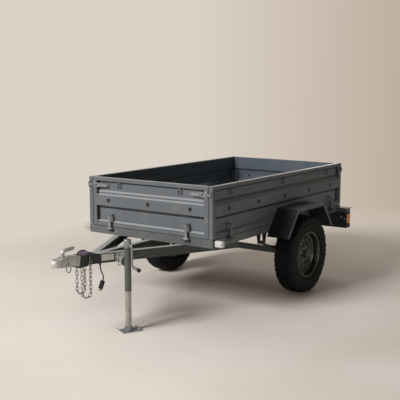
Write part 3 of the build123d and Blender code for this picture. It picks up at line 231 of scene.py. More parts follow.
# ---------------------------- materials
# Bands are (axis, low, high), with the softness of their edges in metres where it isn't the usual one.
LOWER_SLOPE = ("Z", PANEL_TOP - 0.1450, PANEL_TOP - 0.1302)  # the lower slope under the upper pan
LEDGE_FACE = ("X", HALF_BODY - 0.0140, HALF_BODY - 0.0060)  # the ledge in the side panels' upper pans
LEDGE_TOP = ("Z", PANEL_TOP - 0.1260, PANEL_TOP - 0.1160)
SIDE_PAN_DEPTH = ("X", HALF_BODY - 0.0220, HALF_BODY - 0.0025)
SIDE_PAN_END = ("Y", REAR_FACE - 0.076, REAR_FACE - 0.032, 0.002)  # the rear ends of the side panels' pans
GATE_PAN_DEPTH = ("Y", GATE_FACE + 0.003, GATE_FACE + 0.022)
GATE_PAN_END = ("X", -0.527, -0.503, 0.002)  # the front gate's pan ends on the side away from the camera
INNER_FOLD = ("Z", PANEL_TOP - 0.1305, PANEL_TOP - 0.1145, 0.0015)  # the crease round the box's inside
GUARD_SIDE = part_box("mudguard_left")[1].x
GUARD_EDGE = ("X", GUARD_SIDE - 0.0025, GUARD_SIDE + 0.008)  # the outer flange, in a paler grey
BRACKET_TOP = ("Z", 0.5555, 0.80)  # the part of each lamp bracket beside the frame
MARKER_SEAM = ("Z", 0.5845, 0.5875)
MARKER_GASKET = ("X", 0.0, HALF_BODY + 0.013)
FAR_SIDE = ("X", -0.7, 0.0)

DUST = srgb(176, 168, 152)
BRAKE_DUST = srgb(48, 46, 42)
ZINC_BLOOM = srgb(120, 118, 110)
# painted shade, on the side panels' upward slopes and on faces that look down
PAINTED_SHADE = srgb(20, 21, 22)
# painted shade on the side panels' ledges
PAINTED_LEDGE_SHADE = srgb(24, 25, 26)
# painted highlight on the gates' upward slopes
PAINTED_FOLD_HIGHLIGHT = srgb(184, 186, 190)
# painted shade at the ends of the panels' pans
PAINTED_PAN_END_SHADE = srgb(10, 11, 12)
# painted bluish light on the faces inside the load box
PAINTED_INNER_LIGHT = srgb(88, 99, 112)
# painted shade on the load box's side walls inside
PAINTED_INNER_SIDE_SHADE = srgb(44, 60, 64)
# painted shadow in the crease round the box's inside
PAINTED_CREASE_SHADOW = srgb(14, 17, 21)
# painted shade on zinc faces that look across the trailer
PAINTED_ZINC_SIDE_SHADE = srgb(22, 23, 24)
# painted shade over the far marker lamp's lens
PAINTED_FAR_LENS_SHADE = srgb(192, 186, 178)
SEAM_SHADE = srgb(70, 69, 67)


def fold_tones(shader, tone, facing):
    """The panels' folds outside: painted shade on the side panels' slopes, ledges and pan ends and on the
    front gate's pan ends, and a painted highlight on the gates' upward slopes.
    """
    across = shader.facing_side()
    on_side = shader.spread(across, 0.25, 0.45)
    on_gate = shader.spread(across, 0.25, 0.45, 1.0, 0.0)
    slope = shader.window(facing, (0.08, 0.20), (0.90, 0.96))
    not_lower = shader.spread(shader.band(*LOWER_SLOPE), 0.0, 1.0, 1.0, 0.0)
    # painted shade on the side panels' upward slopes, except the lower slope
    tone = shader.tint(tone, PAINTED_SHADE, 0.80, slope, not_lower, on_side)
    # painted shade on the ledge face in the side panels' upper pans
    ledge_face = shader.band(*LEDGE_FACE, both_sides=True)
    tone = shader.tint(tone, PAINTED_LEDGE_SHADE, 0.70, ledge_face, shader.band(*LEDGE_TOP))
    # painted highlight on upward faces that don't look across, such as the gates' slopes
    tone = shader.tint(tone, PAINTED_FOLD_HIGHLIGHT, 0.40, shader.spread(facing, 0.35, 0.6), on_gate)
    # painted shade at the rear ends of the side panels' pans
    side_depth = shader.band(*SIDE_PAN_DEPTH, both_sides=True)
    tone = shader.tint(tone, PAINTED_PAN_END_SHADE, 0.94, side_depth, shader.band(*SIDE_PAN_END))
    # painted shade at the front gate's pan ends on the side away from the camera
    gate_depth = shader.band(*GATE_PAN_DEPTH)
    return shader.tint(tone, PAINTED_PAN_END_SHADE, 0.94, gate_depth, shader.band(*GATE_PAN_END))


def inner_tones(shader, tone):
    """The load box's inside: a painted bluish light over it, with painted shade on its side walls and a
    painted shadow in the crease.
    """
    inner = shader.inward()
    # painted bluish light on every face inside the box
    tone = shader.tint(tone, PAINTED_INNER_LIGHT, 0.60, inner)
    # painted shade on the box's side walls inside
    tone = shader.tint(tone, PAINTED_INNER_SIDE_SHADE, 0.75, inner, shader.spread(shader.facing_side(), 0.5, 0.8))
    # painted shadow along the crease round the box's inside
    return shader.tint(tone, PAINTED_CREASE_SHADOW, 0.85, inner, shader.band(*INNER_FOLD))


def powder_coat(name, colour, paler, rough, top=srgb(164, 165, 166), painted_top_share=0.45, panels=False):
    """Satin powder coat on sheet steel: cloudy and a little dusty, with a painted highlight in the colour top
    on faces that look up and painted shade on faces that look down.
    """
    shader = Shader(name)
    tone = shader.clouds(colour, paler, 3.0, 4.0, 0.35, 0.65)
    tone = shader.tint(tone, DUST, 0.10, shader.spread(shader.noise(11.0, 8.0), 0.52, 0.75))
    facing = shader.facing_up()
    if panels:
        tone = fold_tones(shader, tone, facing)
    # painted highlight on faces that look up
    tone = shader.tint(tone, top, painted_top_share, shader.spread(facing, 0.55, 0.98))
    # painted shade on faces that look down
    tone = shader.tint(tone, PAINTED_SHADE, 0.86, shader.spread(facing, -0.12, -0.55))
    if panels:
        tone = inner_tones(shader, tone)
    shader.bump(shader.noise(420.0, 2.0), 0.10, 0.0006)
    return shader.finish(tone, shader.wear(7.0, 6.0, rough - 0.06, rough + 0.08))


def zinc(name, colour, paler, rough, flake=60.0, metallic=0.75, painted_side_shade=0.0):
    """Zinc plating or galvanising: flakes of slightly different tone and polish."""
    shader = Shader(name)
    cells = shader.add("ShaderNodeTexVoronoi", {"Vector": shader.place, "Scale": flake})
    grey = shader.add("ShaderNodeSeparateColor", {"Color": cells.outputs["Color"]})
    tone = shader.mix(grey.outputs["Red"], colour, paler)
    tone = shader.tint(tone, ZINC_BLOOM, 0.35, shader.spread(shader.noise(14.0, 6.0), 0.5, 0.75))
    # painted shade on faces that look across the trailer
    if painted_side_shade:
        tone = shader.tint(tone, PAINTED_ZINC_SIDE_SHADE, painted_side_shade, shader.spread(shader.facing_side(), 0.6, 0.85))
    shader.bsdf.inputs["Metallic"].default_value = metallic
    shader.bump(shader.noise(240.0, 3.0), 0.12, 0.0004)
    return shader.finish(tone, shader.spread(grey.outputs["Green"], 0.0, 1.0, rough - 0.07, rough + 0.09))


def dark_paint(name, colour, paler, rough, band=None, band_colour=None):
    """Plain black or grey paint, with one band in another tone."""
    shader = Shader(name)
    tone = shader.clouds(colour, paler, 9.0, 6.0, 0.35, 0.7)
    if band:
        tone = shader.mix(shader.band(*band, both_sides=True), tone, band_colour)
    shader.bump(shader.noise(260.0, 3.0), 0.15, 0.0006)
    return shader.finish(tone, shader.wear(30.0, 5.0, rough - 0.08, rough + 0.1))


def wheel_metal(name, colour, paler, rough):
    """Grey wheel enamel with a metallic sheen, duller where brake dust lies."""
    shader = Shader(name)
    tone = shader.clouds(colour, paler, 12.0, 6.0, 0.35, 0.7)
    tone = shader.tint(tone, BRAKE_DUST, 0.5, shader.spread(shader.noise(34.0, 6.0), 0.5, 0.8))
    shader.bsdf.inputs["Metallic"].default_value = 0.55
    shader.bump(shader.noise(300.0, 3.0), 0.1, 0.0004)
    return shader.finish(tone, shader.wear(30.0, 5.0, rough - 0.06, rough + 0.1))


def rubber(name, colour, paler):
    """Tyre rubber: matt, paler where it is dusty, with a fine moulded grain."""
    shader = Shader(name)
    tone = shader.clouds(colour, paler, 16.0, 8.0, 0.4, 0.72)
    shader.bsdf.inputs["Specular IOR Level"].default_value = 0.25
    shader.bump(shader.noise(700.0, 2.0), 0.2, 0.0005)
    return shader.finish(tone, shader.wear(40.0, 4.0, 0.62, 0.82))


def plastic(name, colour, paler, rough):
    """Moulded plastic with a faint grain."""
    shader = Shader(name)
    tone = shader.clouds(colour, paler, 25.0, 4.0, 0.35, 0.65)
    shader.bump(shader.noise(900.0, 2.0), 0.12, 0.0003)
    return shader.finish(tone, shader.wear(80.0, 3.0, rough - 0.05, rough + 0.05))


def lens(name, colour, paler, marker=False):
    """A lamp lens: glossy tinted plastic with fine ribs. Marker lamps have a dark seam and gasket, and
    painted shade over the far lamp's lens.
    """
    shader = Shader(name)
    inputs = {"Vector": shader.place, "Scale": 60.0}
    ribs = shader.add("ShaderNodeTexWave", inputs, bands_direction="Z").outputs["Fac"]
    tone = shader.mix(ribs, colour, paler)
    if marker:
        # painted shade over the lens of the far marker lamp
        tone = shader.mix(shader.band(*FAR_SIDE), tone, PAINTED_FAR_LENS_SHADE)
        for line in (MARKER_SEAM, MARKER_GASKET):
            tone = shader.mix(shader.band(*line, both_sides=True), tone, SEAM_SHADE)
    shader.bsdf.inputs["Coat Weight"].default_value = 0.6
    shader.bsdf.inputs["Coat Roughness"].default_value = 0.08
    shader.bump(ribs, 0.25, 0.0008)
    return shader.finish(tone, shader.wear(60.0, 4.0, 0.12, 0.20))


PAINTS = {
    # slot in the record: material
    # the colour and share after the roughness are a painted highlight on faces that look up
    "body_paint": powder_coat(
        "body_grey", srgb(91, 96, 101), srgb(98, 103, 108), 0.36, srgb(180, 183, 185), 0.55, panels=True
    ),
    "chassis_paint": powder_coat("chassis_grey", srgb(86, 89, 91), srgb(94, 97, 99), 0.30),
    "bright_zinc": zinc("bright_zinc", srgb(124, 128, 132), srgb(154, 158, 162), 0.38, metallic=0.6),
    "chain": zinc("chain_zinc", srgb(126, 124, 118), srgb(166, 164, 156), 0.32, 200.0, 0.85),
    "dark_steel": dark_paint("chassis_black", srgb(33, 35, 35), srgb(44, 45, 44), 0.42),
    "jack_dark": dark_paint("jack_grey", srgb(80, 82, 77), srgb(92, 93, 87), 0.36),
    "tyre": rubber("tyre_rubber", srgb(9, 11, 10), srgb(16, 18, 16)),
    "rim": wheel_metal("wheel_grey", srgb(60, 62, 58), srgb(82, 83, 78), 0.24),
    "black_plastic": plastic("black_plastic", srgb(22, 22, 23), srgb(34, 34, 34), 0.42),
    "pale_plastic": plastic("plug_cream", srgb(200, 193, 160), srgb(212, 205, 174), 0.4),
    "clear_lens": lens("clear_lens", srgb(204, 202, 198), srgb(224, 223, 220), marker=True),
    "amber_lens": lens("amber_lens", srgb(214, 118, 18), srgb(240, 152, 40)),
    "red_lens": lens("red_lens", srgb(132, 8, 8), srgb(168, 15, 14)),
}
# painted shade: a darker copy of the chassis paint for the drawbar's sides, with a strong painted highlight
# on faces that look up
DRAWBAR_PAINT = powder_coat(
    "drawbar_grey_painted_shade", srgb(38, 40, 35), srgb(46, 48, 42), 0.36, srgb(196, 196, 193), 0.8
)
COUPLING_PAINT = zinc("coupling_zinc", srgb(156, 157, 151), srgb(206, 205, 199), 0.42, 40.0, 0.5)
LEG_PAINT = zinc("leg_zinc", srgb(162, 155, 146), srgb(180, 173, 164), 0.42, 40.0, 0.5)
# painted shade on the faces of hinge arms and latches that look across the trailer
ARM_PAINT = zinc("arm_zinc_painted_side_shade", srgb(118, 123, 129), srgb(148, 153, 159), 0.36, 60.0, 0.55, painted_side_shade=0.9)
PLUG_PAINT = plastic("plug_rubber", srgb(6, 7, 8), srgb(12, 13, 14), 0.7)
PLATE_PAINT = plastic("plate_metal", srgb(220, 217, 204), srgb(228, 225, 212), 0.4)
GUARD_PAINT = dark_paint(
    "guard_black", srgb(14, 19, 21), srgb(22, 27, 29), 0.58, GUARD_EDGE, srgb(80, 84, 86)
)
COVER_PAINT = dark_paint("cover_grey", srgb(78, 68, 80), srgb(100, 88, 102), 0.45)
CATCH_PAINT = dark_paint("catch_grey", srgb(58, 60, 60), srgb(80, 82, 80), 0.35)
BOX_PAINT = dark_paint("lamp_box_black", srgb(6, 8, 7), srgb(12, 14, 12), 0.55, BRACKET_TOP, srgb(90, 92, 92))


# ---------------------------- mesh helpers
def piece_from(name, shape, slot, body, sharp=35.0, paint=None, stands_for=None):
    """A piece that rides a body, smooth except at edges sharper than the angle.

    Its paint is its record slot's, or its own, and it may stand for a CAD node.
    """
    bmesh.ops.recalc_face_normals(shape, faces=shape.faces)
    mesh = bpy.data.meshes.new(name)
    shape.to_mesh(mesh)
    shape.free()
    mesh.shade_smooth()
    mesh.set_sharp_from_angle(angle=radians(sharp))
    mesh.materials.append(paint or PAINTS[slot])
    piece = link(name, mesh)
    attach(piece, body)
    if stands_for:
        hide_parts(stands_for)
    return piece


def round_edges(piece, width, segments=2, angle=35.0):
    """Round a piece's edges that are sharper than the angle, and shade them as one with its faces."""
    bevel = piece.modifiers.new("edges", "BEVEL")
    bevel.limit_method = "ANGLE"
    bevel.angle_limit = radians(angle)
    bevel.width = width
    bevel.segments = segments
    weighted = piece.modifiers.new("normals", "WEIGHTED_NORMAL")
    weighted.keep_sharp = False


def cleaned(node):
    """A CAD node's shape with its corners joined and its flat faces whole."""
    shape = bmesh.new()
    source = nodes[node].data
    corners = [shape.verts.new(vertex.co) for vertex in source.vertices]
    for polygon in source.polygons:
        try:
            shape.faces.new([corners[index] for index in polygon.vertices])
        except ValueError:  # the mesh holds this face twice
            continue
    bmesh.ops.remove_doubles(shape, verts=shape.verts, dist=0.00002)
    loose = [vertex for vertex in shape.verts if not vertex.link_faces]
    bmesh.ops.delete(shape, geom=loose, context="VERTS")
    bmesh.ops.dissolve_limit(shape, angle_limit=radians(0.6), verts=shape.verts, edges=shape.edges)
    return shape


def join_rings(shape, rings, loop=False, closed=True, capped=False):
    """Faces from each ring of corners to the next.

    loop joins the last ring to the first, closed joins a ring's last corner to its first, and
    capped fills the first and the last ring.
    """
    count = len(rings[0])
    following = rings[1:] + rings[:1] if loop else rings[1:]
    for here, there in zip(rings, following):
        for index in range(count if closed else count - 1):
            after = (index + 1) % count
            shape.faces.new((here[index], here[after], there[after], there[index]))
    if capped:
        shape.faces.new(rings[0][::-1])
        shape.faces.new(rings[-1])


def round_outline(radius, count):
    """Corners on a circle, for prism()."""
    turns = [2 * pi * index / count for index in range(count)]
    return [(radius * cos(turn), radius * sin(turn)) for turn in turns]


def prism(shape, outline, start, end, across):
    """A straight bar between two places, its outline given as (across, up) offsets."""
    axis = (end - start).normalized()
    side = Vector(across)
    side = (side - axis * side.dot(axis)).normalized()
    up = axis.cross(side)
    rings = []
    for origin in (start, end):
        rings.append([shape.verts.new(origin + side * a + up * b) for a, b in outline])
    join_rings(shape, rings, capped=True)
    return rings


HEAD_TAPER = 0.84  # of a bolt head's or nut's top against its foot


def hex_head(shape, seat, top, radius, across, rise):
    """A six-sided head or nut, its top drawn in and raised as a chamfer."""
    out = (top - seat).normalized()
    for corner in prism(shape, round_outline(radius, 6), seat, top, across)[1]:
        corner.co = top + (corner.co - top) * HEAD_TAPER + out * rise


def wheel_place(centre, outward, along, radius, turn):
    """A place about a wheel's axis: distance outboard, radius, and turn from the top."""
    return centre + Vector((outward * along, radius * sin(turn), radius * cos(turn)))


def lathe(shape, outline, centre, outward, steps, closed=True):
    """Turn an outline of (distance outboard, radius) about a wheel's axis."""
    rings = []
    for step in range(steps):
        turn = 2 * pi * step / steps
        places = [wheel_place(centre, outward, along, radius, turn) for along, radius in outline]
        rings.append([shape.verts.new(place) for place in places])
    join_rings(shape, rings, loop=True, closed=closed)


# ---------------------------- pieces that keep their CAD form
SKINS = [
    # node, edge radius in mm, slot in the record, own paint
    ("front_gate_panel", 2.6, "body_paint", None),
    ("rear_gate_panel", 2.6, "body_paint", None),
    ("side_panel_left", 2.6, "body_paint", None),
    ("side_panel_right", 2.6, "body_paint", None),
    ("front_gate_hinge_arms", 1.2, "bright_zinc", ARM_PAINT),
    ("rear_gate_hinge_arms", 1.2, "bright_zinc", ARM_PAINT),
    ("side_hinge_arms", 1.2, "body_paint", None),
    ("hinge_lugs", 0.8, "body_paint", None),
    ("front_gate_latches", 1.2, "bright_zinc", ARM_PAINT),
    ("rear_gate_latches", 1.2, "bright_zinc", ARM_PAINT),
    ("latch_catches", 1.0, "bright_zinc", CATCH_PAINT),
    ("frame_side_rails", 1.2, "chassis_paint", None),
    ("frame_end_rails", 1.2, "chassis_paint", None),
    ("frame_cross_rails", 1.2, "chassis_paint", None),
    ("floor_sheet", 0.5, "body_paint", None),
    ("drawbar_rails", 1.5, "chassis_paint", DRAWBAR_PAINT),
    ("centre_beam", 1.5, "chassis_paint", DRAWBAR_PAINT),
    ("tongue_block", 2.0, "dark_steel", None),
    ("coupling_head", 3.0, "bright_zinc", COUPLING_PAINT),
    ("coupling_handle", 2.5, "bright_zinc", COUPLING_PAINT),
    ("mudguard_left", 1.2, "dark_steel", GUARD_PAINT),
    ("mudguard_right", 1.2, "dark_steel", GUARD_PAINT),
    ("tail_lamp_brackets", 1.0, "dark_steel", BOX_PAINT),
    ("tail_lamp_red_lenses", 1.5, "red_lens", None),
    ("tail_lamp_amber_lenses", 1.5, "amber_lens", None),
    ("jack_bracket", 1.0, "bright_zinc", COUPLING_PAINT),
    ("jack_foot", 1.0, "bright_zinc", None),
    ("jack_cap", 1.0, "bright_zinc", None),
    ("axle", 1.5, "dark_steel", None),
    ("leaf_springs", 0.6, "dark_steel", None),
    ("spring_hangers", 0.8, "dark_steel", None),
    ("spring_clamps", 0.8, "dark_steel", None),
]
KEPT = [
    # node shown as it is, its material
    ("front_gate_tie_loops", PAINTS["body_paint"]),
    ("rear_gate_tie_loops", PAINTS["body_paint"]),
    ("side_tie_loops", PAINTS["body_paint"]),
    ("coupling_ring", PAINTS["bright_zinc"]),
    ("marker_lamps", PAINTS["clear_lens"]),
    ("jack_tube", PAINTS["jack_dark"]),
    ("jack_leg", LEG_PAINT),
    ("jack_crank", PAINTS["bright_zinc"]),
    ("jack_grip", PAINTS["bright_zinc"]),
    ("jack_grip_end", PAINTS["black_plastic"]),
    ("cable_gland", PAINTS["black_plastic"]),
    ("plug", PAINTS["black_plastic"]),
    ("plug_insert", PAINTS["pale_plastic"]),
]
SKIN_ANGLE = 28.0  # degrees, above which an edge of a CAD form is rounded


def dress_nodes():
    """Round the edges of most CAD nodes on copies that stand for them, and paint the others."""
    for node, radius, slot, paint in SKINS:
        body = nodes[node]["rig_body"]
        skin = piece_from(f"{node}_skin", cleaned(node), slot, body, paint=paint, stands_for=node)
        round_edges(skin, radius * MM, angle=SKIN_ANGLE)
    for node, paint in KEPT:
        nodes[node].data.materials.clear()
        nodes[node].data.materials.append(paint)


dress_nodes()


# ---------------------------- wheels
TYRE_RADIUS = 0.325
TYRE_STEPS = 144  # round the carcass
TREAD_FLOOR = 0.315
TREAD_STEPS = 44  # blocks round the tread in each row
TREAD_ROWS = [
    # inner and outer edge across, share of the pitch, shift in pitches
    (0.003, 0.022, 0.78, 0.00),
    (0.028, 0.049, 0.74, 0.35),
    (-0.022, -0.003, 0.78, 0.50),
    (-0.049, -0.028, 0.74, 0.15),
]
BLOCK_TOP = (TYRE_RADIUS - 0.0004, TYRE_RADIUS - 0.0006)  # radii at its inner and outer edge
BLOCK_TAPER = 0.10
LUG_SHARE = 0.66  # of the pitch
LUG_SHIFT = 0.4  # in pitches, of the lugs on one side against the other's
LUG_TAPER = 0.12
LUG_START = (0.0545, 0.3120, 0.3238)  # inner edge across, radius of the lug's foot and top there
LUG_ENDS = [
    # the same at the outer edge, for long and short lugs in turn
    (0.0850, 0.2950, 0.3065),
    (0.0800, 0.3020, 0.3135),
]
EDGE_TAPER = 0.35  # share of the taper that a block's two edges across take
SIDEWALL = [
    # distance outboard, radius, from the bead over its ribs to the shoulder
    (0.0685, 0.1815), (0.0685, 0.1955), (0.0725, 0.2010), (0.0780, 0.2050), (0.0800, 0.2090),
    (0.0830, 0.2110), (0.0860, 0.2190), (0.0855, 0.2200), (0.0880, 0.2330), (0.0895, 0.2480),
    (0.0895, 0.2600), (0.0880, 0.2610), (0.0880, 0.2640), (0.0893, 0.2650), (0.0885, 0.2800),
    (0.0860, 0.2930), (0.0800, 0.3050), (0.0720, 0.3130), (0.0600, 0.3160),
]
TREAD_MIDDLE = (0.0, 0.3168)
TYRE_INSIDE = [(-0.0555, 0.1815), (-0.0555, 0.2090), (-0.0770, 0.2520), (-0.0700, 0.2950), (-0.06, 0.3040)]

RIM_STEPS = 128
RIM_SEAT = 0.178
RIM_WELL = 0.158
RIM_FLANGE = 0.195
RIM_HALF = 0.076
SHEET = 0.0045
FACE = 0.022  # the disc's inner face outboard of the wheel's middle
CROWN = 0.052
RIM_BARREL = [
    # distance outboard, radius: over the outside of the rolled rim and back along its inside
    (-RIM_HALF, RIM_FLANGE - 0.002), (-RIM_HALF + 0.002, RIM_FLANGE),
    (-RIM_HALF + 0.005, RIM_FLANGE - 0.001), (-RIM_HALF + 0.007, RIM_FLANGE - 0.006),
    (-RIM_HALF + 0.009, RIM_SEAT + 0.003), (-0.052, RIM_SEAT), (-0.040, RIM_WELL), (0.014, RIM_WELL),
    (0.026, RIM_SEAT), (RIM_HALF - 0.009, RIM_SEAT + 0.003), (RIM_HALF - 0.007, RIM_FLANGE - 0.006),
    (RIM_HALF - 0.005, RIM_FLANGE - 0.001), (RIM_HALF - 0.002, RIM_FLANGE),
    (RIM_HALF, RIM_FLANGE - 0.002), (RIM_HALF, RIM_FLANGE - SHEET),
    (RIM_HALF - 0.003, RIM_FLANGE - 0.008), (RIM_HALF - SHEET, RIM_SEAT + 0.001),
    (0.060, RIM_SEAT - SHEET + 0.001), (0.028, RIM_SEAT - SHEET), (0.016, RIM_WELL - SHEET),
    (-0.042, RIM_WELL - SHEET), (-0.054, RIM_SEAT - SHEET), (-RIM_HALF + SHEET, RIM_SEAT - 0.001),
    (-RIM_HALF, RIM_FLANGE - SHEET),
]
DISC_OUTSIDE = [
    # distance outboard, radius, from the hub's bore over the crown to the well
    (FACE + SHEET, 0.028), (FACE + SHEET, 0.072), (FACE + 0.010, 0.079), (CROWN - 0.006, 0.088),
    (CROWN - 0.001, 0.093), (CROWN, 0.098), (CROWN - 0.002, 0.104), (CROWN - 0.010, 0.110),
    (FACE + 0.014, 0.138), (FACE + 0.001, 0.150), (FACE - 0.004, RIM_WELL - 0.003),
]
STUD_CIRCLE = 0.054
STUD_COUNT = 5
DISC_HOLES = [
    # how many, radius of their circle, radius of each
    (10, 0.126, 0.0105),
    (STUD_COUNT, STUD_CIRCLE, 0.0070),
]
DRILL_REACH = 0.070  # outboard, past the disc's crown

HUB_STEPS = 64
HUB_FACE = FACE - 0.0003  # just behind the disc, so that the two faces don't coincide
HUB_OUTLINE = [
    (HUB_FACE - 0.084, 0.0205), (HUB_FACE - 0.084, 0.046), (HUB_FACE - 0.012, 0.046),
    (HUB_FACE - 0.010, 0.0735), (HUB_FACE, 0.074), (HUB_FACE, 0.0205),
]
CAP_STEPS = 48
CAP_OUTLINE = [
    (HUB_FACE, 0.027), (HUB_FACE + 0.012, 0.0268), (HUB_FACE + 0.0135, 0.0295),
    (HUB_FACE + 0.016, 0.0295), (HUB_FACE + 0.0175, 0.0262), (HUB_FACE + 0.028, 0.0252),
    (HUB_FACE + 0.032, 0.0225), (HUB_FACE + 0.0335, 0.016), (HUB_FACE + 0.034, 0.0001),
]
NUT_SEAT_RADIUS = 0.0095
NUT_SEAT_TOP = 0.003  # this and the next heights are over the disc
NUT_RADIUS = 0.0105
NUT_TOP = 0.0135
NUT_RISE = 0.0012
STUD_RADIUS = 0.0055
STUD_FOOT = 0.004
STUD_TOP = 0.0195


def mirrored(outline):
    """The same outline on the other side of the wheel's middle, from its end back to its start."""
    return [(-along, radius) for along, radius in reversed(outline)]


def tread_block(shape, centre, outward, edges, turns, foot, top, taper):
    """A raised block whose top is drawn in by the taper.

    edges are its inner and outer distance outboard, turns its two turns about the axle, and foot
    and top the radii at its inner and outer edge.
    """
    inner, outer = edges
    middle = (turns[0] + turns[1]) / 2
    half = (turns[1] - turns[0]) / 2
    rings = []
    for (inner_radius, outer_radius), shrink in ((foot, 0.0), (top, taper)):
        inset = shrink * (outer - inner) * EDGE_TAPER
        low = (inner + inset, inner_radius)
        high = (outer - inset, outer_radius)
        reach = half * (1 - shrink)
        ring = []
        for (along, radius), turn in ((low, -reach), (high, -reach), (high, reach), (low, reach)):
            ring.append(shape.verts.new(wheel_place(centre, outward, along, radius, middle + turn)))
        rings.append(ring)
    join_rings(shape, rings)
    shape.faces.new(rings[1])


def make_tyre(word, outward, centre):
    """Carcass with ribbed sidewalls, rows of tread blocks and lugs over the shoulders."""
    shape = bmesh.new()
    outside = SIDEWALL + [TREAD_MIDDLE] + mirrored(SIDEWALL)
    lathe(shape, outside + TYRE_INSIDE + mirrored(TYRE_INSIDE), centre, outward, TYRE_STEPS)
    pitch = 2 * pi / TREAD_STEPS
    for index in range(TREAD_STEPS):
        for inner, outer, share, shift in TREAD_ROWS:
            turns = ((index + shift) * pitch, (index + shift + share) * pitch)
            foot = (TREAD_FLOOR, TREAD_FLOOR)
            tread_block(shape, centre, outward, (inner, outer), turns, foot, BLOCK_TOP, BLOCK_TAPER)
        edges, foot, top = zip(LUG_START, LUG_ENDS[index % 2])
        for flip, shift in ((1, 0.0), (-1, LUG_SHIFT)):
            flipped = [flip * edge for edge in edges]
            turns = ((index + shift) * pitch, (index + shift + LUG_SHARE) * pitch)
            tread_block(shape, centre, outward, flipped, turns, foot, top, LUG_TAPER)
    piece_from(f"tyre_{word}_tread", shape, "tyre", f"wheel_{word}", 30.0, stands_for=f"tyre_{word}")


def drilled(shape, holes):
    """The shape with round holes cut through it, each given by its two ends and its radius."""
    drills = bmesh.new()
    for start, end, radius in holes:
        prism(drills, round_outline(radius, 28), start, end, (end - start).orthogonal())
    solids = []
    for solid in (shape, drills):
        bmesh.ops.recalc_face_normals(solid, faces=solid.faces)
        mesh = bpy.data.meshes.new("drilling")
        solid.to_mesh(mesh)
        solid.free()
        solids.append(link("drilling", mesh))
    cut = solids[0].modifiers.new("holes", "BOOLEAN")
    cut.object = solids[1]
    cut.solver = "EXACT"
    bpy.context.view_layer.update()
    evaluated = solids[0].evaluated_get(bpy.context.evaluated_depsgraph_get())
    result = bpy.data.meshes.new_from_object(evaluated)
    whole = bmesh.new()
    whole.from_mesh(result)
    for mesh in (solids[0].data, solids[1].data, result):
        bpy.data.meshes.remove(mesh)  # and the object that uses it
    return whole


def ring_of_places(centre, outward, along, circle, count):
    """Places spaced evenly on a circle about the wheel's axis."""
    return [wheel_place(centre, outward, along, circle, 2 * pi * index / count) for index in range(count)]


def make_rim(word, outward, centre):
    """Rolled rim and pressed disc with its crown, vents and stud holes."""
    shape = bmesh.new()
    lathe(shape, RIM_BARREL, centre, outward, RIM_STEPS)
    piece_from(f"rim_{word}_barrel", shape, "rim", f"wheel_{word}", 40.0, stands_for=f"rim_{word}")
    shape = bmesh.new()
    disc_inside = [(along - SHEET, radius - 0.001) for along, radius in reversed(DISC_OUTSIDE)]
    lathe(shape, DISC_OUTSIDE + disc_inside, centre, outward, RIM_STEPS)
    holes = []
    for count, circle, radius in DISC_HOLES:
        starts = ring_of_places(centre, outward, 0.0, circle, count)
        ends = ring_of_places(centre, outward, DRILL_REACH, circle, count)
        holes.extend((start, end, radius) for start, end in zip(starts, ends))
    piece_from(f"rim_{word}_disc", drilled(shape, holes), "rim", f"wheel_{word}")


def make_hub(word, outward, centre):
    """Hub with its flange, the dust cap, and the studs with their wheel nuts."""
    body = f"wheel_{word}"
    shape = bmesh.new()
    lathe(shape, HUB_OUTLINE, centre, outward, HUB_STEPS)
    piece_from(f"hub_{word}_body", shape, "dark_steel", body, stands_for=f"hub_{word}")
    shape = bmesh.new()
    lathe(shape, CAP_OUTLINE, centre, outward, CAP_STEPS, closed=False)
    piece_from(f"hub_{word}_cap", shape, "dark_steel", body)
    shape = bmesh.new()
    up = (0, 0, 1)
    for seat in ring_of_places(centre, outward, FACE + SHEET, STUD_CIRCLE, STUD_COUNT):
        seat_top, nut_top, stud_foot, stud_top = (
            seat + Vector((outward * height, 0, 0)) for height in (NUT_SEAT_TOP, NUT_TOP, STUD_FOOT, STUD_TOP)
        )
        prism(shape, round_outline(NUT_SEAT_RADIUS, 20), seat, seat_top, up)
        hex_head(shape, seat_top, nut_top, NUT_RADIUS, up, NUT_RISE)
        prism(shape, round_outline(STUD_RADIUS, 16), stud_foot, stud_top, up)
    piece_from(f"hub_{word}_nuts", shape, "bright_zinc", body, 30.0)


def make_wheels():
    """Tyre, rim and hub on each side, about the middle of the CAD tyre."""
    for word, outward in SIDES:
        low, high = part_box(f"tyre_{word}")
        centre = (low + high) / 2
        make_tyre(word, outward, centre)
        make_rim(word, outward, centre)
        make_hub(word, outward, centre)


make_wheels()


# ---------------------------- safety chains
LINK_WIRE = 0.0023
LINK_TWIST = radians(35)  # of every upright link about its length
LINK_SPREAD = 0.0006  # by which the round links are wider to each side than the CAD ones
BEND_STEPS = 8  # along the wire at each end of a link
WIRE_SIDES = 10  # round every wire


def islands(node):
    """The corner places of each separate solid in a node's mesh."""
    shape = cleaned(node)
    left = set(shape.verts)
    groups = []
    while left:
        start = min(left, key=lambda vertex: vertex.index)
        left.discard(start)
        group = [start]
        for vertex in group:
            for edge in vertex.link_edges:
                other = edge.other_vert(vertex)
                if other in left:
                    left.discard(other)
                    group.append(other)
        groups.append([vertex.co.copy() for vertex in group])
    shape.free()
    return groups


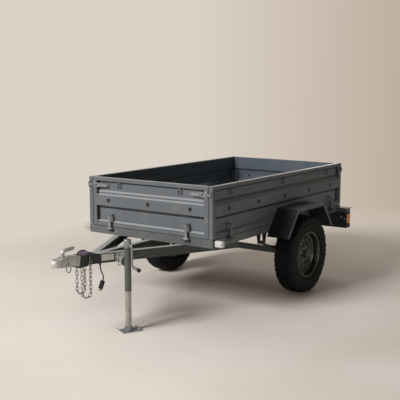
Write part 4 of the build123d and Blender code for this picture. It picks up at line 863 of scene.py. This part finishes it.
def ring_axes(points):
    """A flat ring's centre, long direction and normal, and half its length, width and thickness."""
    centre = sum(points, Vector()) / len(points)
    offsets = [point - centre for point in points]
    crossed = [first.cross(second) for first in offsets for second in offsets]
    normal = max(crossed, key=lambda vector: vector.length).normalized()
    flat = [offset - normal * offset.dot(normal) for offset in offsets]
    first = max(flat, key=lambda offset: offset.length).normalized()
    fits = []
    for degree in range(180):
        axis = Matrix.Rotation(radians(degree), 3, normal) @ first
        long_half = max(abs(offset.dot(axis)) for offset in flat)
        wide_half = max(abs(offset.dot(normal.cross(axis))) for offset in flat)
        fits.append((long_half - wide_half, axis, long_half, wide_half))
    _, axis, long_half, wide_half = max(fits, key=lambda fit: fit[0])
    thick_half = max(abs(offset.dot(normal)) for offset in offsets)
    return centre, axis, normal, long_half, wide_half, thick_half


def wire_ring(shape, place, across, up, radius):
    """Corners round a wire at one place on its middle line."""
    return [shape.verts.new(place + across * x + up * z) for x, z in round_outline(radius, WIRE_SIDES)]


def stadium_link(shape, centre, axis, normal, long_half, wide_half):
    """A welded chain link: round wire bent to two straights and two half circles."""
    side = normal.cross(axis)
    bend = wide_half - LINK_WIRE
    straight = long_half - LINK_WIRE - bend
    rings = []
    for end, first in ((1, -pi / 2), (-1, pi / 2)):
        for step in range(BEND_STEPS + 1):
            turn = first + pi * step / BEND_STEPS
            out = axis * cos(turn) + side * sin(turn)
            place = centre + axis * end * straight + out * bend
            rings.append(wire_ring(shape, place, out, normal, LINK_WIRE))
    join_rings(shape, rings, loop=True)


def make_chains():
    """Round-wire links in place of the CAD ones, longer by what their wire is slimmer."""
    shape = bmesh.new()
    for points in islands("safety_chains"):
        centre, axis, normal, long_half, wide_half, thick_half = ring_axes(points)
        upright = axis if axis.z > 0 else -axis
        twist = Matrix.Rotation(LINK_TWIST * upright.z ** 2, 3, upright)
        long_half += thick_half - LINK_WIRE
        stadium_link(shape, centre, axis, twist @ normal, long_half, wide_half + LINK_SPREAD)
    piece_from("safety_chain_links", shape, "chain", "root", 60.0, stands_for="safety_chains")


make_chains()


# ---------------------------- cable
CABLE_ROUTE = [
    # metres, in the trailer's own frame
    (0.036, -1.1602, 0.469),
    (0.036, -1.1602, 0.447),
    (0.041, -1.1542, 0.421),
    (0.050, -1.1462, 0.396),
    (0.052, -1.1442, 0.373),
    (0.047, -1.1472, 0.3545),
]
CABLE_DIAMETER = 0.009


def make_cable():
    """The short cable that hangs from its gland under the left drawbar rail, with its plug."""
    curve = bpy.data.curves.new("trailer_cable", "CURVE")
    curve.dimensions = "3D"
    spline = curve.splines.new("NURBS")
    spline.points.add(len(CABLE_ROUTE) - 1)
    for point, place in zip(spline.points, CABLE_ROUTE):
        point.co = (*place, 1.0)
    spline.order_u = 3
    spline.use_endpoint_u = True
    spline.resolution_u = 12
    curve.bevel_depth = CABLE_DIAMETER / 2
    curve.bevel_resolution = 5
    curve.materials.append(PAINTS["black_plastic"])
    cable = link("trailer_cable", curve)
    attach(cable, "root")
    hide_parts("cable")


make_cable()


# ---------------------------- fixings
TAIL_FRONT = 2058  # mm, front faces of the tail lamp boxes, behind the front gate
TAIL_BOLTS = ((650, 512), (684, 492))  # mm, across and up
BOLT_RADIUS = 0.0055
BOLT_HEIGHT = 0.005
BOLT_RISE = 0.0006
WASHER_RADIUS = 0.00825
WASHER_HEIGHT = 0.0011

PLATE_CORNERS = ((45, -584), (91, -493))  # mm, along the near drawbar rail's outer face: across, behind
PLATE_HEIGHTS = (496, 549)  # mm
PLATE_EDGE = 0.0004
PLATE_LAYERS = [
    # piece, slot in the record, own paint, inset from the frame's edge, height off the rail
    ("plate_frame", "black_plastic", None, 0.0, 0.0012),
    ("plate_face", "pale_plastic", PLATE_PAINT, 0.0035, 0.0018),
]

HOLE_HEIGHT = PANEL_TOP - 0.181
GATE_HOLE_PITCH = 0.398
SIDE_HOLE_PITCH = 0.423
GATE_HOLES = [GATE_HOLE_PITCH * step for step in (-1, 0, 1)]
SIDE_HOLES = [BODY_MIDDLE + SIDE_HOLE_PITCH * step for step in (-2, -1, 0, 1, 2)]
PLUG_RADIUS = 0.0124
PLUG_EDGE = 0.0015
PLUG_DEPTH = 0.014  # of its inner end behind the panel's outer face
PLUG_FLANGE_RADIUS = 0.017
PLUG_FLANGE = (-0.0002, 0.0012)  # the flange's two faces, out of the panel's outer face

HOOP_FRONT = at(-38, -742, 562)
HOOP_REAR = at(-38, -628, 552)
HOOP_RISE = 0.027
HOOP_FULLNESS = 0.6  # power of its sine: under 1 the hoop rises steeper at its ends
HOOP_SINK = 0.004  # of its two ends in the tongue
HOOP_STEPS = 24
HOOP_WIRE = 0.0045
COVER_HALF_WIDTH = 0.036
COVER_EDGE = 0.004
COVER_DROP = 0.003  # of the cover's top under the hoop's wire
COVER_SINK = 0.015  # of the cover's foot under the hoop's ends

LATCH_HEIGHT = PANEL_TOP - 0.062
LATCH_BUSHES = [
    # across, seat out of the gate's face, radius: one on the drum and one on the root of the lever
    (0.550, 0.0128, 0.0065),
    (0.518, 0.0108, 0.0075),
]
BUSH_LENGTH = 0.0016
BUSH_EDGE = 0.0005


def make_tail_bolts():
    """Bolt heads with washers on the tail lamp boxes."""
    shape = bmesh.new()
    out = Vector((0, -1, 0))
    across = out.orthogonal()
    for _, sign in SIDES:
        for x, z in TAIL_BOLTS:
            seat = at(sign * x, TAIL_FRONT, z)
            washer_top = seat + out * WASHER_HEIGHT
            prism(shape, round_outline(WASHER_RADIUS, 24), seat, washer_top, across)
            hex_head(shape, washer_top, washer_top + out * BOLT_HEIGHT, BOLT_RADIUS, across, BOLT_RISE)
    piece_from("tail_box_bolts", shape, "bright_zinc", "root", 30.0)


def make_plate():
    """The blank plate in its dark frame, on the near drawbar rail."""
    low, high = PLATE_HEIGHTS
    front, rear = (at(x, behind, (low + high) / 2) for x, behind in PLATE_CORNERS)
    middle = (front + rear) / 2
    along = (rear - front).normalized()
    out = Vector((along.y, -along.x, 0))
    for name, slot, paint, inset, stand in PLATE_LAYERS:
        x = (rear - front).length / 2 - inset
        z = (high - low) * MM / 2 - inset
        shape = bmesh.new()
        prism(shape, [(-x, -z), (x, -z), (x, z), (-x, z)], middle, middle + out * stand, along)
        round_edges(piece_from(name, shape, slot, "root", 30.0, paint), PLATE_EDGE)


def make_plugs():
    """Black rubber plugs in the row of holes in each panel, with a thin flange outside."""
    walls = [
        # body, places across and behind, way out of the box, depth of the plug's outer end
        ("front_gate", [(x, GATE_FACE) for x in GATE_HOLES], (0, -1, 0), 0.0060),
        ("rear_gate", [(x, REAR_FACE) for x in GATE_HOLES], (0, 1, 0), 0.0060),
        ("root", [(HALF_BODY, y) for y in SIDE_HOLES], (1, 0, 0), 0.0025),
        ("root", [(-HALF_BODY, y) for y in SIDE_HOLES], (-1, 0, 0), 0.0025),
    ]
    for index, (body, places, way_out, recess) in enumerate(walls):
        shape = bmesh.new()
        out = Vector(way_out)
        across = out.orthogonal()
        flange_low, flange_high = (out * height for height in PLUG_FLANGE)
        for x, y in places:
            seat = Vector((x, y, HOLE_HEIGHT))
            plug = round_outline(PLUG_RADIUS, 28)
            prism(shape, plug, seat - out * PLUG_DEPTH, seat - out * recess, across)
            flange = round_outline(PLUG_FLANGE_RADIUS, 28)
            prism(shape, flange, seat + flange_low, seat + flange_high, across)
        plugs = piece_from(f"hole_plugs_{index}", shape, "black_plastic", body, 30.0, PLUG_PAINT)
        round_edges(plugs, PLUG_EDGE)


def wire(shape, points, radius):
    """Round wire along a line of places, with closed ends."""
    slant = Vector((0.13, 0.31, 0.94))  # no stretch of wire runs this way
    rings = []
    for index, place in enumerate(points):
        before = points[max(index - 1, 0)]
        after = points[min(index + 1, len(points) - 1)]
        along = (after - before).normalized()
        across = along.cross(slant).normalized()
        rings.append(wire_ring(shape, place, across, along.cross(across), radius))
    join_rings(shape, rings, capped=True)


def make_hoop():
    """The wire hoop along the top of the tongue, and the crowned cover beside it."""
    points = []
    for step in range(HOOP_STEPS + 1):
        part = step / HOOP_STEPS
        rise = HOOP_RISE * sin(pi * part) ** HOOP_FULLNESS if 0 < part < 1 else -HOOP_SINK
        points.append(HOOP_FRONT.lerp(HOOP_REAR, part) + Vector((0, 0, rise)))
    shape = bmesh.new()
    wire(shape, points, HOOP_WIRE)
    piece_from("tongue_hoop", shape, "dark_steel", "root", 60.0)
    outline = [(point.y, point.z - COVER_DROP) for point in points]
    outline += [(end.y, end.z - COVER_SINK) for end in (points[-1], points[0])]
    side = Vector((COVER_HALF_WIDTH, 0, 0))
    shape = bmesh.new()
    prism(shape, outline, -side, side, (0, 1, 0))
    cover = piece_from("tongue_cover", shape, "dark_steel", "root", 40.0, COVER_PAINT)
    round_edges(cover, COVER_EDGE, segments=3)


def make_bushes():
    """Black bushes on each latch."""
    for body, face, out in (("front_gate", GATE_FACE, -1), ("rear_gate", REAR_FACE, 1)):
        shape = bmesh.new()
        for _, sign in SIDES:
            for x, stand, radius in LATCH_BUSHES:
                seat = Vector((sign * x, face + out * stand, LATCH_HEIGHT))
                end = seat + Vector((0, out * BUSH_LENGTH, 0))
                prism(shape, round_outline(radius, 24), seat, end, (1, 0, 0))
        bushes = piece_from(f"{body}_latch_bushes", shape, "black_plastic", body, 30.0)
        round_edges(bushes, BUSH_EDGE)


make_tail_bolts()
make_plate()
make_plugs()
make_hoop()
make_bushes()


# ---------------------------- floor, backdrop and light
FLOOR = srgb(250, 244, 237)
FLOOR_PATCHES = srgb(236, 229, 220)
FLOOR_WARMTH = srgb(206, 132, 62)
FLOOR_WARMTH_SHARE = 0.02  # of what the camera sees of the floor, which warms the shadows
FLOOR_RADIUS = 14.0
FADE_CENTRE = (1.2, 1.5, 0.0)
FADE = (2.6, 4.4)  # distances from there over which the floor goes over into the backdrop
WALL_LEFT = srgb(220, 210, 199)
WALL = srgb(186, 172, 156)
WALL_SHADE = srgb(124, 117, 108)
WALL_TOP = srgb(60, 58, 55)
WALL_RIGHT = (0.817, 0.5766, 0.0)  # direction in which the wall grows dimmer
WALL_TURN = (-0.02, 0.27)  # how far that way the left tone goes over into the wall's
WALL_END = (0.3, 0.95)  # and the wall's into its shade
WALL_RISE = (0.25, 0.8)  # how far up the wall goes over into the tone overhead
WORLD_LIGHT = 0.27
LAMP_AIM = (0, 0, 0.6)
LAMPS = [
    # name, place, size across and up, watts, colour
    ("key", (-1.7, -6.3, 4.8), (2.4, 2.4), 580.0, (1.0, 0.985, 0.97)),
    ("front", (-3.0, -6.6, 1.5), (4.0, 3.0), 20.0, (0.95, 0.98, 1.0)),
    ("side", (6.0, 0.2, 0.9), (3.0, 1.2), 36.0, (0.97, 1.0, 0.98)),
    ("back", (-0.8, 6.2, 3.8), (3.0, 3.0), 118.0, (1.0, 0.94, 0.86)),
]


def make_floor():
    """A wide disc that fades into the backdrop's colour away from the trailer."""
    shape = bmesh.new()
    bmesh.ops.create_circle(shape, cap_ends=True, segments=96, radius=FLOOR_RADIUS)
    mesh = bpy.data.meshes.new("floor")
    shape.to_mesh(mesh)
    shape.free()
    shader = Shader("studio_floor")
    tone = shader.clouds(FLOOR, FLOOR_PATCHES, 0.8, 6.0, 0.35, 0.7)
    mesh.materials.append(shader.finish(tone, shader.wear(3.0, 4.0, 0.75, 0.9)))
    shader.bsdf.inputs["Specular IOR Level"].default_value = 0.2
    warmth = shader.add("ShaderNodeEmission", {"Color": FLOOR_WARMTH}).outputs["Emission"]
    seen = shader.add("ShaderNodeLightPath").outputs["Is Camera Ray"]
    share = shader.reckon("MULTIPLY", seen, FLOOR_WARMTH_SHARE)
    inputs = {0: share, 1: shader.bsdf.outputs["BSDF"], 2: warmth}
    warmed = shader.add("ShaderNodeMixShader", inputs).outputs["Shader"]
    distance = shader.reckon_vector("DISTANCE", shader.place, FADE_CENTRE, "Value")
    clear = shader.add("ShaderNodeBsdfTransparent").outputs["BSDF"]
    inputs = {0: shader.spread(distance, *FADE), 1: warmed, 2: clear}
    faded = shader.add("ShaderNodeMixShader", inputs).outputs["Shader"]
    output = next(node for node in shader.tree.nodes if node.type == "OUTPUT_MATERIAL")
    shader.feed(output.inputs["Surface"], faded)
    link("floor", mesh)


def make_world():
    """A pale backdrop, dimmer to the right and overhead, which lights the trailer only a little."""
    world = bpy.data.worlds.new("studio")
    bpy.context.scene.world = world
    world.use_nodes = True
    studio = Nodes(world.node_tree)
    studio.tree.nodes.clear()
    direction = studio.add("ShaderNodeTexCoord").outputs["Generated"]
    right = studio.reckon_vector("DOT_PRODUCT", direction, WALL_RIGHT, "Value")
    wall = studio.mix(studio.spread(right, *WALL_TURN), WALL_LEFT, WALL)
    wall = studio.mix(studio.spread(right, *WALL_END), wall, WALL_SHADE)
    height = studio.part_of(direction, "Z")
    wall = studio.mix(studio.spread(height, *WALL_RISE), wall, WALL_TOP)
    path = studio.add("ShaderNodeLightPath").outputs
    seen = studio.reckon("MAXIMUM", path["Is Camera Ray"], path["Is Glossy Ray"])
    seen = studio.reckon("MAXIMUM", seen, path["Is Transmission Ray"])
    light = studio.add("ShaderNodeBackground", {"Color": wall, "Strength": WORLD_LIGHT})
    backdrop = studio.add("ShaderNodeBackground", {"Color": wall, "Strength": 1.0})
    inputs = {0: seen, 1: light.outputs["Background"], 2: backdrop.outputs["Background"]}
    mixed = studio.add("ShaderNodeMixShader", inputs)
    studio.add("ShaderNodeOutputWorld", {"Surface": mixed.outputs["Shader"]})


def make_lamps():
    """Soft rectangular lamps, all turned to the trailer's middle."""
    for name, place, size, watts, colour in LAMPS:
        data = bpy.data.lights.new(name, "AREA")
        data.shape = "RECTANGLE"
        data.size, data.size_y = size
        data.energy = watts
        data.color = colour
        lamp = link(name, data)
        lamp.location = place
        aim = Vector(LAMP_AIM) - Vector(place)
        lamp.rotation_euler = aim.to_track_quat("-Z", "Y").to_euler()


make_floor()
make_world()
make_lamps()
bpy.context.scene.view_settings.view_transform = "Standard"
